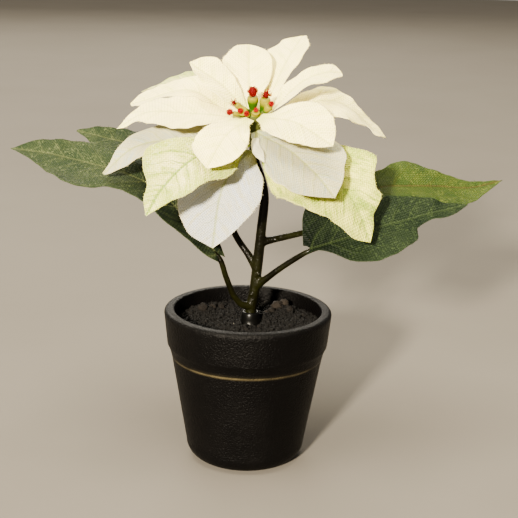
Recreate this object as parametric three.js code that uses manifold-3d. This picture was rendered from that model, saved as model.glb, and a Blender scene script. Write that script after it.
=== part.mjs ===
// A small artificial poinsettia in a plastic pot: cloth bracts and leaves on a moulded stem.
// Millimetres, +Z up. The origin is the centre of the pot's flat base, where the pot stands.
// -Y is the plant's front, the side that the flower leans to.
import * as THREE from "three";
import { mergeVertices } from "three/addons/utils/BufferGeometryUtils.js";
import Module from "manifold-3d";

const wasm = await Module();
wasm.setup();

// ---- driving dimensions ----
const GAP = 0.3; // clearance between pieces that touch

const POT = {
  height: 84,
  rimRadius: 45,
  rimMouthRadius: 39.5,
  rimRound: 2,
  bandFootRadius: 43.2,
  bandFootHeight: 65,
  bodyTopRadius: 40.8,
  bodyTopHeight: 58.5,
  bodyFootRadius: 32.3,
  footRound: 10,
  wall: 2.2,
  floor: 3,
  sides: 36,
};
const SOIL = { top: 76, depth: 13, rings: 9, sectors: 40 }; // top is its height at the wall
const COLLAR = { height: 6.5, sunk: 4, topRadius: 4.4, footRadius: 5.6 };
const STEM_FOOT_HEIGHT = 22; // where the stem ends inside the filler
const STEM_HOLE_RADIUS = 3.7; // the stem's foot is 3.3 there
const STEM_X = 1.4; // the stem stands this far from the pot's axis
const WALL_GAP = 0.5; // clearance of the filler and the soil inside the faceted pot
const TRUNK_SIDES = 12;
const BRANCH_SIDES = 8;

const HEAD = new THREE.Vector3(1, -7, 188); // where the bracts spring from
const HEAD_TILT = 18; // degrees that the head leans to the front
const CLOTH = 0.9; // thickness of a bract or leaf solid
const TIP_HALF_WIDTH = 0.5;
const WIDEST_ROW = 0.11; // share of a blade's length that one row of faces may cover
const BLADE_COLUMNS = 6;

const COLOURS = {
  pot: 0x141312,
  filler: 0x8c8a84,
  soil: 0x1b1917,
  stem: 0x2c2a17,
  bract: 0xf3eedb,
  greenBract: 0xe3e8b4,
  leaf: 0x3c5a2a,
  bud: 0xb9bf3a,
  stamen: 0xc8202a,
};

// ---- small helpers ----
const radians = THREE.MathUtils.degToRad;

function material(colour, roughness = 0.8) {
  const side = THREE.DoubleSide;
  return new THREE.MeshStandardMaterial({ color: colour, roughness, metalness: 0, side });
}

function piece(name, geometry, colour, roughness) {
  const mesh = new THREE.Mesh(geometry, material(colour, roughness));
  mesh.name = name;
  return mesh;
}

// A closed three.js geometry as a manifold-3d solid.
function solidOf(geometry) {
  const bare = (geometry.index ? geometry.toNonIndexed() : geometry).clone();
  bare.deleteAttribute("normal");
  bare.deleteAttribute("uv");
  const merged = mergeVertices(bare, 1e-4);
  return new wasm.Manifold(
    new wasm.Mesh({
      numProp: 3,
      vertProperties: merged.attributes.position.array,
      triVerts: new Uint32Array(merged.index.array),
    }),
  );
}

// A manifold-3d solid as a three.js geometry.
function geometryOf(solid) {
  const mesh = solid.getMesh();
  const corners = new Float32Array(mesh.numVert * 3);
  for (let i = 0; i < mesh.numVert; i++) {
    const start = i * mesh.numProp;
    corners.set(mesh.vertProperties.subarray(start, start + 3), i * 3);
  }
  return new THREE.BufferGeometry()
    .setAttribute("position", new THREE.BufferAttribute(corners, 3))
    .setIndex(new THREE.BufferAttribute(mesh.triVerts, 1));
}

function union(geometries) {
  return geometryOf(geometries.map(solidOf).reduce((all, one) => all.add(one)));
}

// A profile of [radius, height] points turned about Z. It runs so that the solid is on its left.
function turned(profile, sides) {
  const points = profile.map(([radius, height]) => new THREE.Vector2(radius, height));
  return new THREE.LatheGeometry(points, sides).rotateX(Math.PI / 2);
}

// Points of an arc about [cx, cy], from one angle to another in degrees.
function arc(cx, cy, radius, from, to, steps) {
  return Array.from({ length: steps + 1 }, (_, i) => {
    const angle = radians(from + ((to - from) * i) / steps);
    return [cx + radius * Math.cos(angle), cy + radius * Math.sin(angle)];
  });
}

function geometryFromRings(rings) {
  const count = rings[0].length;
  const corners = [];
  const faces = [];
  rings.forEach((ring) => ring.forEach((p) => corners.push(p.x, p.y, p.z)));
  for (let i = 0; i < rings.length - 1; i++) {
    for (let j = 0; j < count; j++) {
      const a = i * count + j;
      const b = i * count + ((j + 1) % count);
      faces.push(a, b, b + count, a, b + count, a + count);
    }
  }
  for (const [ring, flip] of [[0, true], [rings.length - 1, false]]) {
    const first = ring * count;
    for (let j = 1; j < count - 1; j++) {
      const pair = flip ? [first + j + 1, first + j] : [first + j, first + j + 1];
      faces.push(first, ...pair);
    }
  }
  return new THREE.BufferGeometry()
    .setAttribute("position", new THREE.Float32BufferAttribute(corners, 3))
    .setIndex(faces);
}

// A round stalk through points of [x, y, z, radius], smooth between them, with flat ends.
function stalk(stations, steps, sides) {
  const line = new THREE.CatmullRomCurve3(stations.map(([x, y, z]) => new THREE.Vector3(x, y, z)));
  const frames = line.computeFrenetFrames(steps, false);
  const rings = Array.from({ length: steps + 1 }, (_, i) => {
    const share = i / steps;
    const centre = line.getPointAt(share);
    const along = line.getUtoTmapping(share) * (stations.length - 1);
    const before = Math.min(Math.floor(along), stations.length - 2);
    const radius = THREE.MathUtils.lerp(stations[before][3], stations[before + 1][3], along - before);
    return Array.from({ length: sides }, (_, j) => {
      const angle = (2 * Math.PI * j) / sides;
      return centre
        .clone()
        .addScaledVector(frames.normals[i], radius * Math.cos(angle))
        .addScaledVector(frames.binormals[i], radius * Math.sin(angle));
    });
  });
  return geometryFromRings(rings);
}

// ---- pot, filler, soil and collar ----
function potOuterRadius(height) {
  const { bodyFootRadius, bodyTopRadius, bodyTopHeight, footRound } = POT;
  const share = (height - footRound) / (bodyTopHeight - footRound);
  return THREE.MathUtils.lerp(bodyFootRadius, bodyTopRadius, share);
}

function potInnerRadius(height) {
  if (height <= POT.bodyTopHeight) return potOuterRadius(height) - POT.wall;
  const share = (height - POT.bodyTopHeight) / (POT.height - POT.bodyTopHeight);
  return THREE.MathUtils.lerp(POT.bodyTopRadius - POT.wall, POT.rimMouthRadius, share);
}

function pot() {
  const { height, rimRadius, rimMouthRadius, rimRound, footRound, floor } = POT;
  const innerCorner = footRound - 1;
  const innerFoot = floor + innerCorner;
  const mouthRound = 0.8;
  const profile = [
    [0, 0],
    ...arc(POT.bodyFootRadius - footRound, footRound, footRound, -90, 0, 5),
    [POT.bodyTopRadius, POT.bodyTopHeight],
    [POT.bandFootRadius, POT.bandFootHeight],
    ...arc(rimRadius - rimRound, height - rimRound, rimRound, 0, 90, 3),
    ...arc(rimMouthRadius + mouthRound, height - mouthRound, mouthRound, 90, 180, 2),
    [potInnerRadius(POT.bodyTopHeight), POT.bodyTopHeight],
    ...arc(potInnerRadius(innerFoot) - innerCorner, innerFoot, innerCorner, 0, -90, 4),
    [0, floor],
  ];
  return piece("pot", turned(profile, POT.sides), COLOURS.pot, 0.55);
}

// Moves the corners of a turned body that lie on the stem's hole over to the stem.
function moveHole(geometry) {
  const place = geometry.getAttribute("position");
  for (let i = 0; i < place.count; i++) {
    const away = Math.hypot(place.getX(i), place.getY(i));
    if (away < STEM_HOLE_RADIUS + 0.01) place.setX(i, place.getX(i) + STEM_X);
  }
  return geometry;
}

// A round tapered block that fills the pot, with a blind hole for the stem's foot.
function filler() {
  const top = SOIL.top - SOIL.depth - GAP;
  const foot = POT.floor + GAP;
  const corner = POT.footRound + 1;
  const side = potInnerRadius(foot + corner) - GAP;
  const profile = [
    [0, foot],
    [side - corner, foot],
    [side - 0.32 * corner, foot + 0.35 * corner],
    [side, foot + corner],
    [potInnerRadius(POT.bodyTopHeight) - WALL_GAP, POT.bodyTopHeight],
    [potInnerRadius(top) - WALL_GAP, top],
    [STEM_HOLE_RADIUS, top],
    [STEM_HOLE_RADIUS, STEM_FOOT_HEIGHT - GAP],
    [0, STEM_FOOT_HEIGHT - GAP],
  ];
  return piece("filler_block", moveHole(turned(profile, 32)), COLOURS.filler, 0.9);
}

// Height of the soil's surface above its top: low crumbs everywhere, and heaped places.
const SOIL_HEAPS = [
  { x: 20, y: 20, radius: 9, height: 3.6 },
  { x: 9, y: 7, radius: 6, height: 2.2 },
  { x: -24, y: 17, radius: 10, height: 2.4 },
  { x: -6, y: -9, radius: 6, height: 1.2 },
];
function soilHeight(x, y) {
  const wide = 0.45 * Math.sin(0.9 * x + 1.3) * Math.cos(0.8 * y);
  const narrow = 0.35 * Math.sin(1.7 * y - 0.9 * x);
  const heaps = SOIL_HEAPS.reduce((sum, heap) => {
    const away = Math.hypot(x - heap.x, y - heap.y) / heap.radius;
    return sum + heap.height * Math.exp(-away * away * 1.6);
  }, 0);
  return wide + narrow + heaps;
}

function soil() {
  const { rings, sectors } = SOIL;
  const hole = COLLAR.footRadius + GAP;
  const bottom = SOIL.top - SOIL.depth;
  const edge = potInnerRadius(bottom) - WALL_GAP;
  const round = (radius, heightAt) =>
    Array.from({ length: sectors }, (_, j) => {
      const angle = (2 * Math.PI * j) / sectors;
      const centre = (STEM_X * (edge - radius)) / (edge - hole);
      const x = centre + radius * Math.cos(angle);
      const y = radius * Math.sin(angle);
      return new THREE.Vector3(x, y, heightAt(x, y));
    });
  const loops = [];
  loops.push(round(hole, () => bottom), round(edge, () => bottom));
  for (let i = rings; i >= 0; i--) {
    const radius = hole + ((edge - hole) * i) / rings;
    const wallCalm = Math.min(1, (edge - radius) / 4 + 0.15);
    const holeCalm = Math.min(1, (radius - hole) / 3);
    const calm = wallCalm * holeCalm;
    loops.push(round(radius, (x, y) => SOIL.top + calm * soilHeight(x, y)));
  }
  const corners = loops.flat().flatMap((p) => [p.x, p.y, p.z]);
  const faces = [];
  for (let i = 0; i < loops.length; i++) {
    const next = ((i + 1) % loops.length) * sectors;
    for (let j = 0; j < sectors; j++) {
      const a = i * sectors + j;
      const b = i * sectors + ((j + 1) % sectors);
      const c = next + j;
      const d = next + ((j + 1) % sectors);
      faces.push(a, b, d, a, d, c);
    }
  }
  const geometry = new THREE.BufferGeometry()
    .setAttribute("position", new THREE.Float32BufferAttribute(corners, 3))
    .setIndex(faces);
  return piece("soil", geometry, COLOURS.soil, 0.95);
}

// The black sleeve round the stem's foot, where it goes into the soil.
function collar() {
  const { height, sunk, topRadius, footRadius } = COLLAR;
  const foot = SOIL.top - sunk;
  const shoulder = topRadius + 0.5;
  const profile = [
    [STEM_HOLE_RADIUS, foot],
    [footRadius, foot],
    [footRadius, SOIL.top + 0.8],
    [shoulder, SOIL.top + 0.6 * height],
    [topRadius, SOIL.top + height],
    [STEM_HOLE_RADIUS, SOIL.top + height],
    [STEM_HOLE_RADIUS, foot],
  ];
  return piece("stem_collar", turned(profile, 20).translate(STEM_X, 0, 0), COLOURS.pot, 0.3);
}

// ---- stem: a trunk with four branches, moulded as one piece ----
const TRUNK = [
  [STEM_X, 0, STEM_FOOT_HEIGHT, 3.2],
  [STEM_X, 0, 60, 3.3],
  [STEM_X, 0, 83, 3.1],
  [2.9, 0, 93, 2.8],
  [4.7, -1, 112, 2.8],
  [5.9, -2, 128, 2.6],
  [7, -3, 147, 2.4],
  [5, -2, 156, 2.3],
  [2.4, -0.8, 163, 2.2],
  [1.2, -0.3, 166.8, 2.2],
];
const BRANCHES = {
  leftLow: [
    [2.2, -0.4, 85.5, 2.2],
    [-3.4, -3, 87, 1.8],
    [-8, -5, 93, 1.7],
    [-12, -7, 103, 1.6],
    [-15.6, -8.8, 113.6, 1.5],
  ],
  leftBack: [
    [4.6, -1, 106, 2.6],
    [-0.4, 2, 113, 1.9],
    [-7.4, 7, 122, 1.8],
    [-14, 13, 136, 1.6],
    [-18, 17, 147.5, 1.5],
  ],
  rightHigh: [
    [5.4, -1.5, 121.2, 2.6],
    [10, -1, 122.2, 2],
    [20, 1, 124.2, 1.8],
    [31, 5, 126.2, 1.7],
    [39.5, 9, 128.6, 1.5],
  ],
  rightLow: [
    [3.4, 0, 96.6, 2.6],
    [8.4, -3, 101, 1.9],
    [15, -6, 107.3, 1.7],
    [23, -9, 114, 1.6],
    [30, -12, 119.3, 1.4],
  ],
};

function stem() {
  const parts = [stalk(TRUNK, 16, TRUNK_SIDES)];
  for (const stations of Object.values(BRANCHES)) parts.push(stalk(stations, 9, BRANCH_SIDES));
  return piece("stem", union(parts), COLOURS.stem, 0.45);
}

// ---- blades: bracts and leaves ----
const UP = new THREE.Vector3(0, 0, 1);

// Half the blade's width at a share t of its length, on one side (-1 left, 1 right): a smooth line
// through the edge's stations of [share of the length, half width].
function halfWidth(blade, t, side) {
  const stations = side < 0 ? blade.left : blade.right;
  const edge = [[0, blade.rootWidth / 2], ...stations, [1, TIP_HALF_WIDTH]];
  const last = edge.length - 1;
  const slope = (k) => {
    const [beforeAt, beforeWidth] = edge[Math.max(k - 1, 0)];
    const [afterAt, afterWidth] = edge[Math.min(k + 1, last)];
    return (afterWidth - beforeWidth) / (afterAt - beforeAt);
  };
  const next = Math.max(1, edge.findIndex(([at]) => at >= t));
  const [fromAt, from] = edge[next - 1];
  const [toAt, to] = edge[next];
  const span = toAt - fromAt;
  const u = (t - fromAt) / span;
  const width =
    from * (1 + 2 * u) * (1 - u) ** 2 +
    to * u * u * (3 - 2 * u) +
    span * (slope(next - 1) * u * (1 - u) ** 2 - slope(next) * u * u * (1 - u));
  return Math.max(width, TIP_HALF_WIDTH);
}

// Where the blade has rows of corners: at its edges' stations, and between those that are far apart.
function rowStops(blade) {
  const shares = new Set([0, ...[...blade.left, ...blade.right].map(([at]) => at), 1]);
  const sorted = [...shares].sort((a, b) => a - b);
  return sorted.flatMap((t, i) => {
    const before = i ? sorted[i - 1] : t;
    return t - before > WIDEST_ROW ? [(t + before) / 2, t] : [t];
  });
}

// The rib's curve, and the level direction to its right. A blade heads for its tip unless it has
// a heading of its own, in degrees round Z from +X.
function ribOf(blade) {
  const chord = blade.tip.clone().sub(blade.root);
  const heading =
    blade.heading === undefined ? Math.atan2(chord.y, chord.x) : radians(blade.heading);
  return {
    curve: new THREE.CatmullRomCurve3([blade.root, ...blade.bends, blade.tip], false, "centripetal"),
    right: new THREE.Vector3(Math.sin(heading), -Math.cos(heading), 0),
  };
}

// A point of the blade's middle surface: t along the rib, s across it from -1 (left) to 1 (right).
// The roll lowers the right edge, the fold and cup raise both, and the wave ripples them. An ear
// carries the edge back past the root.
function bladePoint(blade, rib, t, s) {
  const centre = rib.curve.getPointAt(t);
  const along = rib.curve.getTangentAt(t);
  const right = rib.right.clone().addScaledVector(along, -rib.right.dot(along)).normalize();
  right.applyAxisAngle(along, radians(blade.roll + (blade.twist ?? 0) * (t - 0.5)));
  const face = right.clone().cross(along);
  const width = halfWidth(blade, t, Math.sign(s)) * Math.abs(s);
  const fold = radians(blade.fold) * Math.min(1, t / 0.3);
  const spread = Math.sin(Math.PI * t);
  const ear = blade.ear * s * s * Math.max(0, 1 - t / 0.3) ** 2;
  const ripple = Math.sin(2 * Math.PI * (blade.waves * t + 0.3 * s + blade.phase));
  const height = width * Math.sin(fold) + s * s * spread * (blade.cup + blade.wave * ripple);
  return centre
    .addScaledVector(right, Math.sign(s) * width * Math.cos(fold))
    .addScaledVector(face, height)
    .addScaledVector(along, -ear);
}

// The blade as a closed solid, split into triangles alike on both faces.
function bladeGeometry(blade) {
  const rib = ribOf(blade);
  const rows = rowStops(blade);
  const columns = BLADE_COLUMNS;
  const wide = columns + 1;
  const middle = rows.map((t) =>
    Array.from({ length: wide }, (_, j) => bladePoint(blade, rib, t, (2 * j) / columns - 1)),
  );
  const faceAt = (i, j) => {
    const next = middle[Math.min(i + 1, rows.length - 1)][j];
    const rightOf = middle[i][Math.min(j + 1, columns)];
    const along = next.clone().sub(middle[Math.max(i - 1, 0)][j]);
    const across = rightOf.clone().sub(middle[i][Math.max(j - 1, 0)]);
    return across.cross(along).normalize();
  };
  const corners = [];
  for (const way of [0.5, -0.5]) {
    middle.forEach((row, i) =>
      row.forEach((point, j) => {
        corners.push(...point.clone().addScaledVector(faceAt(i, j), way * CLOTH).toArray());
      }),
    );
  }
  const under = rows.length * wide;
  const faces = [];
  const quad = (a, b, c, d) => faces.push(a, b, c, a, c, d);
  for (let i = 0; i < rows.length - 1; i++) {
    for (let j = 0; j < columns; j++) {
      const a = i * wide + j;
      quad(a, a + 1, a + wide + 1, a + wide);
      faces.push(under + a, under + a + wide + 1, under + a + 1);
      faces.push(under + a, under + a + wide, under + a + wide + 1);
    }
    const left = i * wide;
    const right = left + columns;
    quad(left, left + wide, under + left + wide, under + left);
    quad(right, under + right, under + right + wide, right + wide);
  }
  const last = (rows.length - 1) * wide;
  for (let j = 0; j < columns; j++) {
    quad(j, under + j, under + j + 1, j + 1);
    quad(last + j, last + j + 1, under + last + j + 1, under + last + j);
  }
  return new THREE.BufferGeometry()
    .setAttribute("position", new THREE.Float32BufferAttribute(corners, 3))
    .setIndex(faces);
}

// Where a bract springs from: round the leaning head, at its layer's level and distance from the
// head's axis. It faces its first bend unless it has a bearing of its own.
const headFrame = new THREE.Matrix4().makeRotationX(radians(HEAD_TILT)).setPosition(HEAD);
function rootFor(bract, firstBend) {
  const facing = Math.atan2(firstBend.y - HEAD.y, firstBend.x - HEAD.x);
  const bearing = bract.bearing === undefined ? facing : radians(bract.bearing);
  const x = bract.radius * Math.cos(bearing);
  const y = bract.radius * Math.sin(bearing);
  return new THREE.Vector3(x, y, bract.level).applyMatrix4(headFrame);
}

// What a bract has unless its layer or its own entry says otherwise. The left and right edges are
// seen from the root towards the tip.
const SHAPE = {
  rootWidth: 6,
  fold: 8,
  cup: 0,
  wave: 1,
  waves: 2.2,
  phase: 0,
  roll: 0,
  ear: 0,
};
const INNER = { ...SHAPE, level: 2.5, radius: 5.9, colour: COLOURS.bract };
const MIDDLE = { ...SHAPE, level: -5, radius: 4.8, colour: COLOURS.bract };
const OUTER = { ...SHAPE, level: -13, radius: 4, rootWidth: 4.5, colour: COLOURS.greenBract };

// Each bract's rib through its bends to its tip, its edges' stations, and what differs from its
// layer.
const BRACTS = {
  bract_inner_back: {
    ...INNER,
    rib: [[-2.5, 13, 204], [-3, 28, 218], [-3, 35, 221]],
    left: [[0.2, 4], [0.35, 6.8], [0.5, 11.5], [0.65, 14.2], [0.75, 12], [0.85, 9], [0.93, 6]],
    right: [
      [0.2, 6.5], [0.35, 10], [0.5, 12], [0.65, 12.5],
      [0.75, 11.5], [0.85, 9.5], [0.93, 5.5],
    ],
    phase: 0.4,
  },
  bract_inner_left: {
    ...INNER,
    rib: [[-15, 0.5, 202.5], [-33.5, 13, 213]],
    bearing: 149,
    radius: 6.4,
    level: 3,
    rootWidth: 4.6,
    left: [[0.1, 4], [0.25, 8.5], [0.4, 9.5], [0.6, 9.2], [0.7, 8.2], [0.8, 5.7], [0.9, 2.7]],
    right: [
      [0.1, 4], [0.25, 6.7], [0.4, 8], [0.6, 12],
      [0.7, 13], [0.8, 12.5], [0.9, 10.8], [0.97, 7],
    ],
    roll: -18,
  },
  bract_inner_right: {
    ...INNER,
    rib: [[25, 0, 206.5], [37, 6, 210.6], [45.4, 12, 209.8]],
    level: 0.5,
    radius: 6.3,
    left: [
      [0.1, 4], [0.2, 6.5], [0.35, 8.5], [0.5, 7.5],
      [0.65, 6.6], [0.8, 6], [0.9, 5.4], [0.96, 4.2],
    ],
    right: [
      [0.1, 4], [0.2, 7], [0.35, 11], [0.5, 12],
      [0.65, 10.5], [0.8, 7.6], [0.9, 5.4], [0.96, 3.6],
    ],
    roll: 10,
    twist: 56,
  },
  bract_inner_front: {
    ...INNER,
    rib: [[-13, -26, 182], [-22, -44, 169]],
    bearing: 250,
    radius: 7.4,
    level: 3,
    rootWidth: 5.6,
    left: [
      [0.1, 3.8], [0.2, 8], [0.3, 11.5], [0.45, 13.8],
      [0.6, 15.3], [0.7, 16], [0.8, 14], [0.9, 9],
    ],
    right: [
      [0.1, 4], [0.2, 8], [0.3, 10.2], [0.45, 11.6],
      [0.6, 13.3], [0.7, 13], [0.8, 10.3], [0.9, 6],
    ],
    roll: -10,
  },
  bract_inner_side: {
    ...INNER,
    rib: [[21, -27, 189.5], [39.5, -37, 180]],
    bearing: 292,
    radius: 6.4,
    level: 3.8,
    left: [
      [0.1, 4.5], [0.2, 8], [0.3, 11], [0.4, 15], [0.5, 18],
      [0.6, 16.5], [0.7, 15], [0.8, 13], [0.9, 8.5],
    ],
    right: [
      [0.1, 6], [0.2, 11], [0.3, 14], [0.4, 16.5], [0.5, 17],
      [0.6, 15], [0.7, 13], [0.8, 11], [0.9, 8],
    ],
    roll: 25,
  },
  bract_middle_back: {
    ...MIDDLE,
    rib: [[16, 25, 211], [25.8, 46.6, 225.6]],
    level: -4,
    left: [
      [0.15, 6], [0.3, 8.5], [0.45, 11.4], [0.6, 13],
      [0.72, 14], [0.8, 14.5], [0.9, 11.5], [0.96, 9.5],
    ],
    right: [
      [0.15, 4], [0.3, 5.5], [0.45, 8.3], [0.6, 9.3],
      [0.72, 11], [0.8, 10.5], [0.9, 6.5], [0.96, 4],
    ],
    roll: -14,
  },
  bract_middle_left_back: {
    ...MIDDLE,
    rib: [[-16, 9, 189.5], [-34, 19, 198], [-66, 33, 187]],
    left: [
      [0.1, 3.5], [0.25, 5.5], [0.4, 7.5], [0.55, 10],
      [0.7, 11.5], [0.8, 10.5], [0.9, 8], [0.96, 5],
    ],
    right: [
      [0.1, 4.5], [0.25, 10], [0.4, 12.5], [0.55, 12.7],
      [0.7, 12.8], [0.8, 11.5], [0.9, 10.6], [0.96, 8],
    ],
    roll: -20,
  },
  bract_middle_left: {
    ...MIDDLE,
    rib: [[-38, -5, 190], [-56, -6, 188.5], [-69.5, -7, 181]],
    level: -0.5,
    radius: 5.2,
    bearing: 178,
    rootWidth: 4.5,
    left: [
      [0.1, 4], [0.2, 9], [0.35, 14], [0.5, 16],
      [0.65, 15], [0.75, 11], [0.85, 5], [0.93, 2.2],
    ],
    right: [
      [0.1, 5], [0.2, 9.5], [0.35, 13], [0.5, 15.5],
      [0.65, 16], [0.75, 12.5], [0.85, 7], [0.93, 3.5],
    ],
    fold: 0,
    roll: -20,
  },
  bract_middle_left_front: {
    ...MIDDLE,
    rib: [[-38, -7, 176.5], [-60, -7, 171.5], [-76, -12, 158]],
    level: -8,
    bearing: 186,
    left: [
      [0.15, 3.5], [0.3, 4], [0.45, 5.5], [0.6, 9.2],
      [0.7, 10.8], [0.8, 10.2], [0.9, 7], [0.96, 4],
    ],
    right: [
      [0.15, 6], [0.3, 9.5], [0.45, 10.5], [0.6, 10.3],
      [0.7, 9], [0.8, 5.8], [0.9, 2.8], [0.96, 1.3],
    ],
    roll: -32,
  },
  bract_middle_side: {
    ...MIDDLE,
    rib: [[24, -29, 172], [41, -45, 156]],
    bearing: 275,
    radius: 5.2,
    left: [
      [0.1, 7.5], [0.2, 13], [0.35, 20], [0.5, 24],
      [0.6, 23.5], [0.7, 20.5], [0.8, 15], [0.9, 9.3],
    ],
    right: [
      [0.1, 10], [0.2, 16], [0.35, 23], [0.5, 27],
      [0.6, 27.8], [0.7, 27], [0.8, 24], [0.9, 17],
    ],
    roll: 12,
  },
  bract_middle_right: {
    ...MIDDLE,
    rib: [[40, 10, 196], [72, 24, 174]],
    level: -8,
    left: [
      [0.1, 4.5], [0.25, 7], [0.4, 9], [0.52, 11.5],
      [0.65, 8.5], [0.75, 6], [0.85, 6.5], [0.93, 4.8],
    ],
    right: [
      [0.1, 5], [0.25, 12], [0.4, 20], [0.5, 24],
      [0.65, 18.5], [0.75, 13], [0.85, 12.5], [0.93, 7],
    ],
    roll: 26,
  },
  bract_outer_front: {
    ...OUTER,
    rib: [[-7, -13, 166], [-15, -21, 153], [-19, -24, 123.5]],
    level: -17,
    bearing: 262,
    heading: 262,
    left: [
      [0.1, 7.5], [0.2, 15], [0.3, 19.5], [0.45, 21.3],
      [0.6, 19.4], [0.7, 16], [0.8, 11.7], [0.9, 6.5],
    ],
    right: [
      [0.1, 7.5], [0.2, 14], [0.3, 18], [0.45, 20.5],
      [0.6, 20.8], [0.7, 20], [0.8, 16.8], [0.92, 11],
    ],
    colour: COLOURS.bract,
  },
  bract_outer_left_back: {
    ...OUTER,
    rib: [[-24, 38, 198], [-44, 52, 197], [-62.5, 60, 190]],
    bearing: 135,
    left: [[0.1, 5], [0.25, 11], [0.4, 15], [0.55, 16], [0.7, 13.5], [0.85, 8]],
    right: [[0.1, 5], [0.25, 11], [0.4, 15], [0.55, 17], [0.7, 15], [0.8, 13.5], [0.9, 8]],
    roll: -14,
  },
  bract_outer_left_front: {
    ...OUTER,
    rib: [[-27, -29, 172], [-43.5, -46, 158.5], [-50.5, -53, 146.5]],
    level: -12.6,
    bearing: 218,
    left: [
      [0.1, 6], [0.2, 12], [0.3, 17.5], [0.42, 19.6],
      [0.55, 15.5], [0.65, 14.3], [0.75, 12.5], [0.85, 7.5],
    ],
    right: [
      [0.1, 3.5], [0.2, 5.5], [0.3, 7.5], [0.42, 10.5], [0.55, 17],
      [0.65, 19.5], [0.75, 14.5], [0.82, 7.5], [0.92, 4.5],
    ],
    roll: -35,
  },
  bract_outer_right_front: {
    ...OUTER,
    rib: [[29, -14, 168.5], [50, -24, 152], [61, -28, 129.5]],
    bearing: 325,
    level: -15,
    left: [
      [0.1, 5], [0.25, 10], [0.4, 15.2], [0.5, 21], [0.59, 25.2],
      [0.66, 18], [0.72, 15], [0.77, 16], [0.85, 8.3], [0.93, 5],
    ],
    right: [
      [0.05, 9], [0.12, 18.5], [0.2, 25], [0.3, 27.4], [0.45, 27.8],
      [0.6, 24.5], [0.72, 19.7], [0.85, 14.2], [0.93, 9.8],
    ],
    roll: 42,
    twist: -32,
  },
  bract_outer_back: {
    ...OUTER,
    rib: [[16, 34, 180], [24, 62, 168]],
    bearing: 55,
    left: [[0.1, 6], [0.25, 14], [0.4, 19], [0.55, 20], [0.7, 16.5], [0.85, 10]],
    right: [[0.1, 6], [0.25, 14], [0.4, 19], [0.55, 20], [0.7, 16.5], [0.85, 10]],
  },
};

const LEAF = { ...SHAPE, ear: 3, colour: COLOURS.leaf };
const LEAVES = {
  leaf_left_low: {
    ...LEAF,
    rib: [[-16.4, -9.2, 115.6], [-32, -5, 132], [-53, -2, 151], [-85, 3, 160.5], [-127, 8, 167]],
    left: [
      [0.05, 7], [0.15, 10.5], [0.28, 17.2], [0.38, 15.5], [0.45, 14.4], [0.54, 16.5],
      [0.6, 22], [0.67, 25.7], [0.75, 22.5], [0.85, 12.3], [0.93, 5],
    ],
    right: [
      [0.05, 6.5], [0.15, 10], [0.28, 12], [0.38, 10], [0.45, 9],
      [0.54, 11.5], [0.62, 14.8], [0.7, 14.8], [0.8, 11.7], [0.9, 7.9],
    ],
    roll: -25,
  },
  leaf_left_back: {
    ...LEAF,
    rib: [[-20, 19, 149], [-38, 31, 158], [-62, 41, 163], [-98, 50, 169]],
    left: [
      [0.08, 9], [0.2, 14.5], [0.35, 19], [0.5, 21.5],
      [0.6, 22.5], [0.7, 20], [0.8, 13.3], [0.9, 5.3],
    ],
    right: [
      [0.08, 7], [0.2, 11], [0.35, 10], [0.5, 8.5],
      [0.62, 10.7], [0.7, 10.6], [0.8, 8.7], [0.9, 5.4],
    ],
    roll: -25,
  },
  leaf_right_high: {
    ...LEAF,
    rib: [
      [41.4, 10.2, 129.6],
      [54, 18, 140],
      [71, 26, 146.5],
      [103, 37, 145.5],
      [122, 41, 144.5],
      [140, 44, 148.5],
    ],
    left: [
      [0.06, 7], [0.15, 9], [0.28, 9.5], [0.38, 12.5], [0.48, 18],
      [0.56, 17], [0.66, 11], [0.78, 6.5], [0.9, 3],
    ],
    right: [
      [0.06, 8], [0.15, 13], [0.28, 18], [0.4, 21], [0.5, 22],
      [0.6, 22], [0.7, 20], [0.8, 14], [0.9, 6.5],
    ],
    roll: 30,
  },
  leaf_right_low: {
    ...LEAF,
    rib: [[31.5, -13, 121.5], [50, -11, 127], [78, -4, 135], [115, 6, 142.5]],
    left: [
      [0.04, 20], [0.1, 26.5], [0.2, 27], [0.32, 25.3], [0.42, 22.5],
      [0.5, 18], [0.6, 15], [0.7, 11.7], [0.8, 8], [0.9, 3.5],
    ],
    right: [
      [0.05, 2], [0.12, 5.5], [0.2, 14], [0.3, 19.6], [0.4, 20.4], [0.5, 18.5],
      [0.58, 15.6], [0.62, 13.4], [0.64, 7.5], [0.75, 4.2], [0.88, 4.6], [0.95, 2.3],
    ],
    roll: 40,
  },
};

function blades() {
  const made = [];
  for (const [name, spec] of Object.entries({ ...BRACTS, ...LEAVES })) {
    const stations = spec.rib.map((station) => new THREE.Vector3(...station));
    const root = spec.level === undefined ? stations.shift() : rootFor(spec, stations[0]);
    const tip = stations.pop();
    made.push(piece(name, bladeGeometry({ ...spec, root, bends: stations, tip }), spec.colour));
  }
  return made;
}

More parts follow.
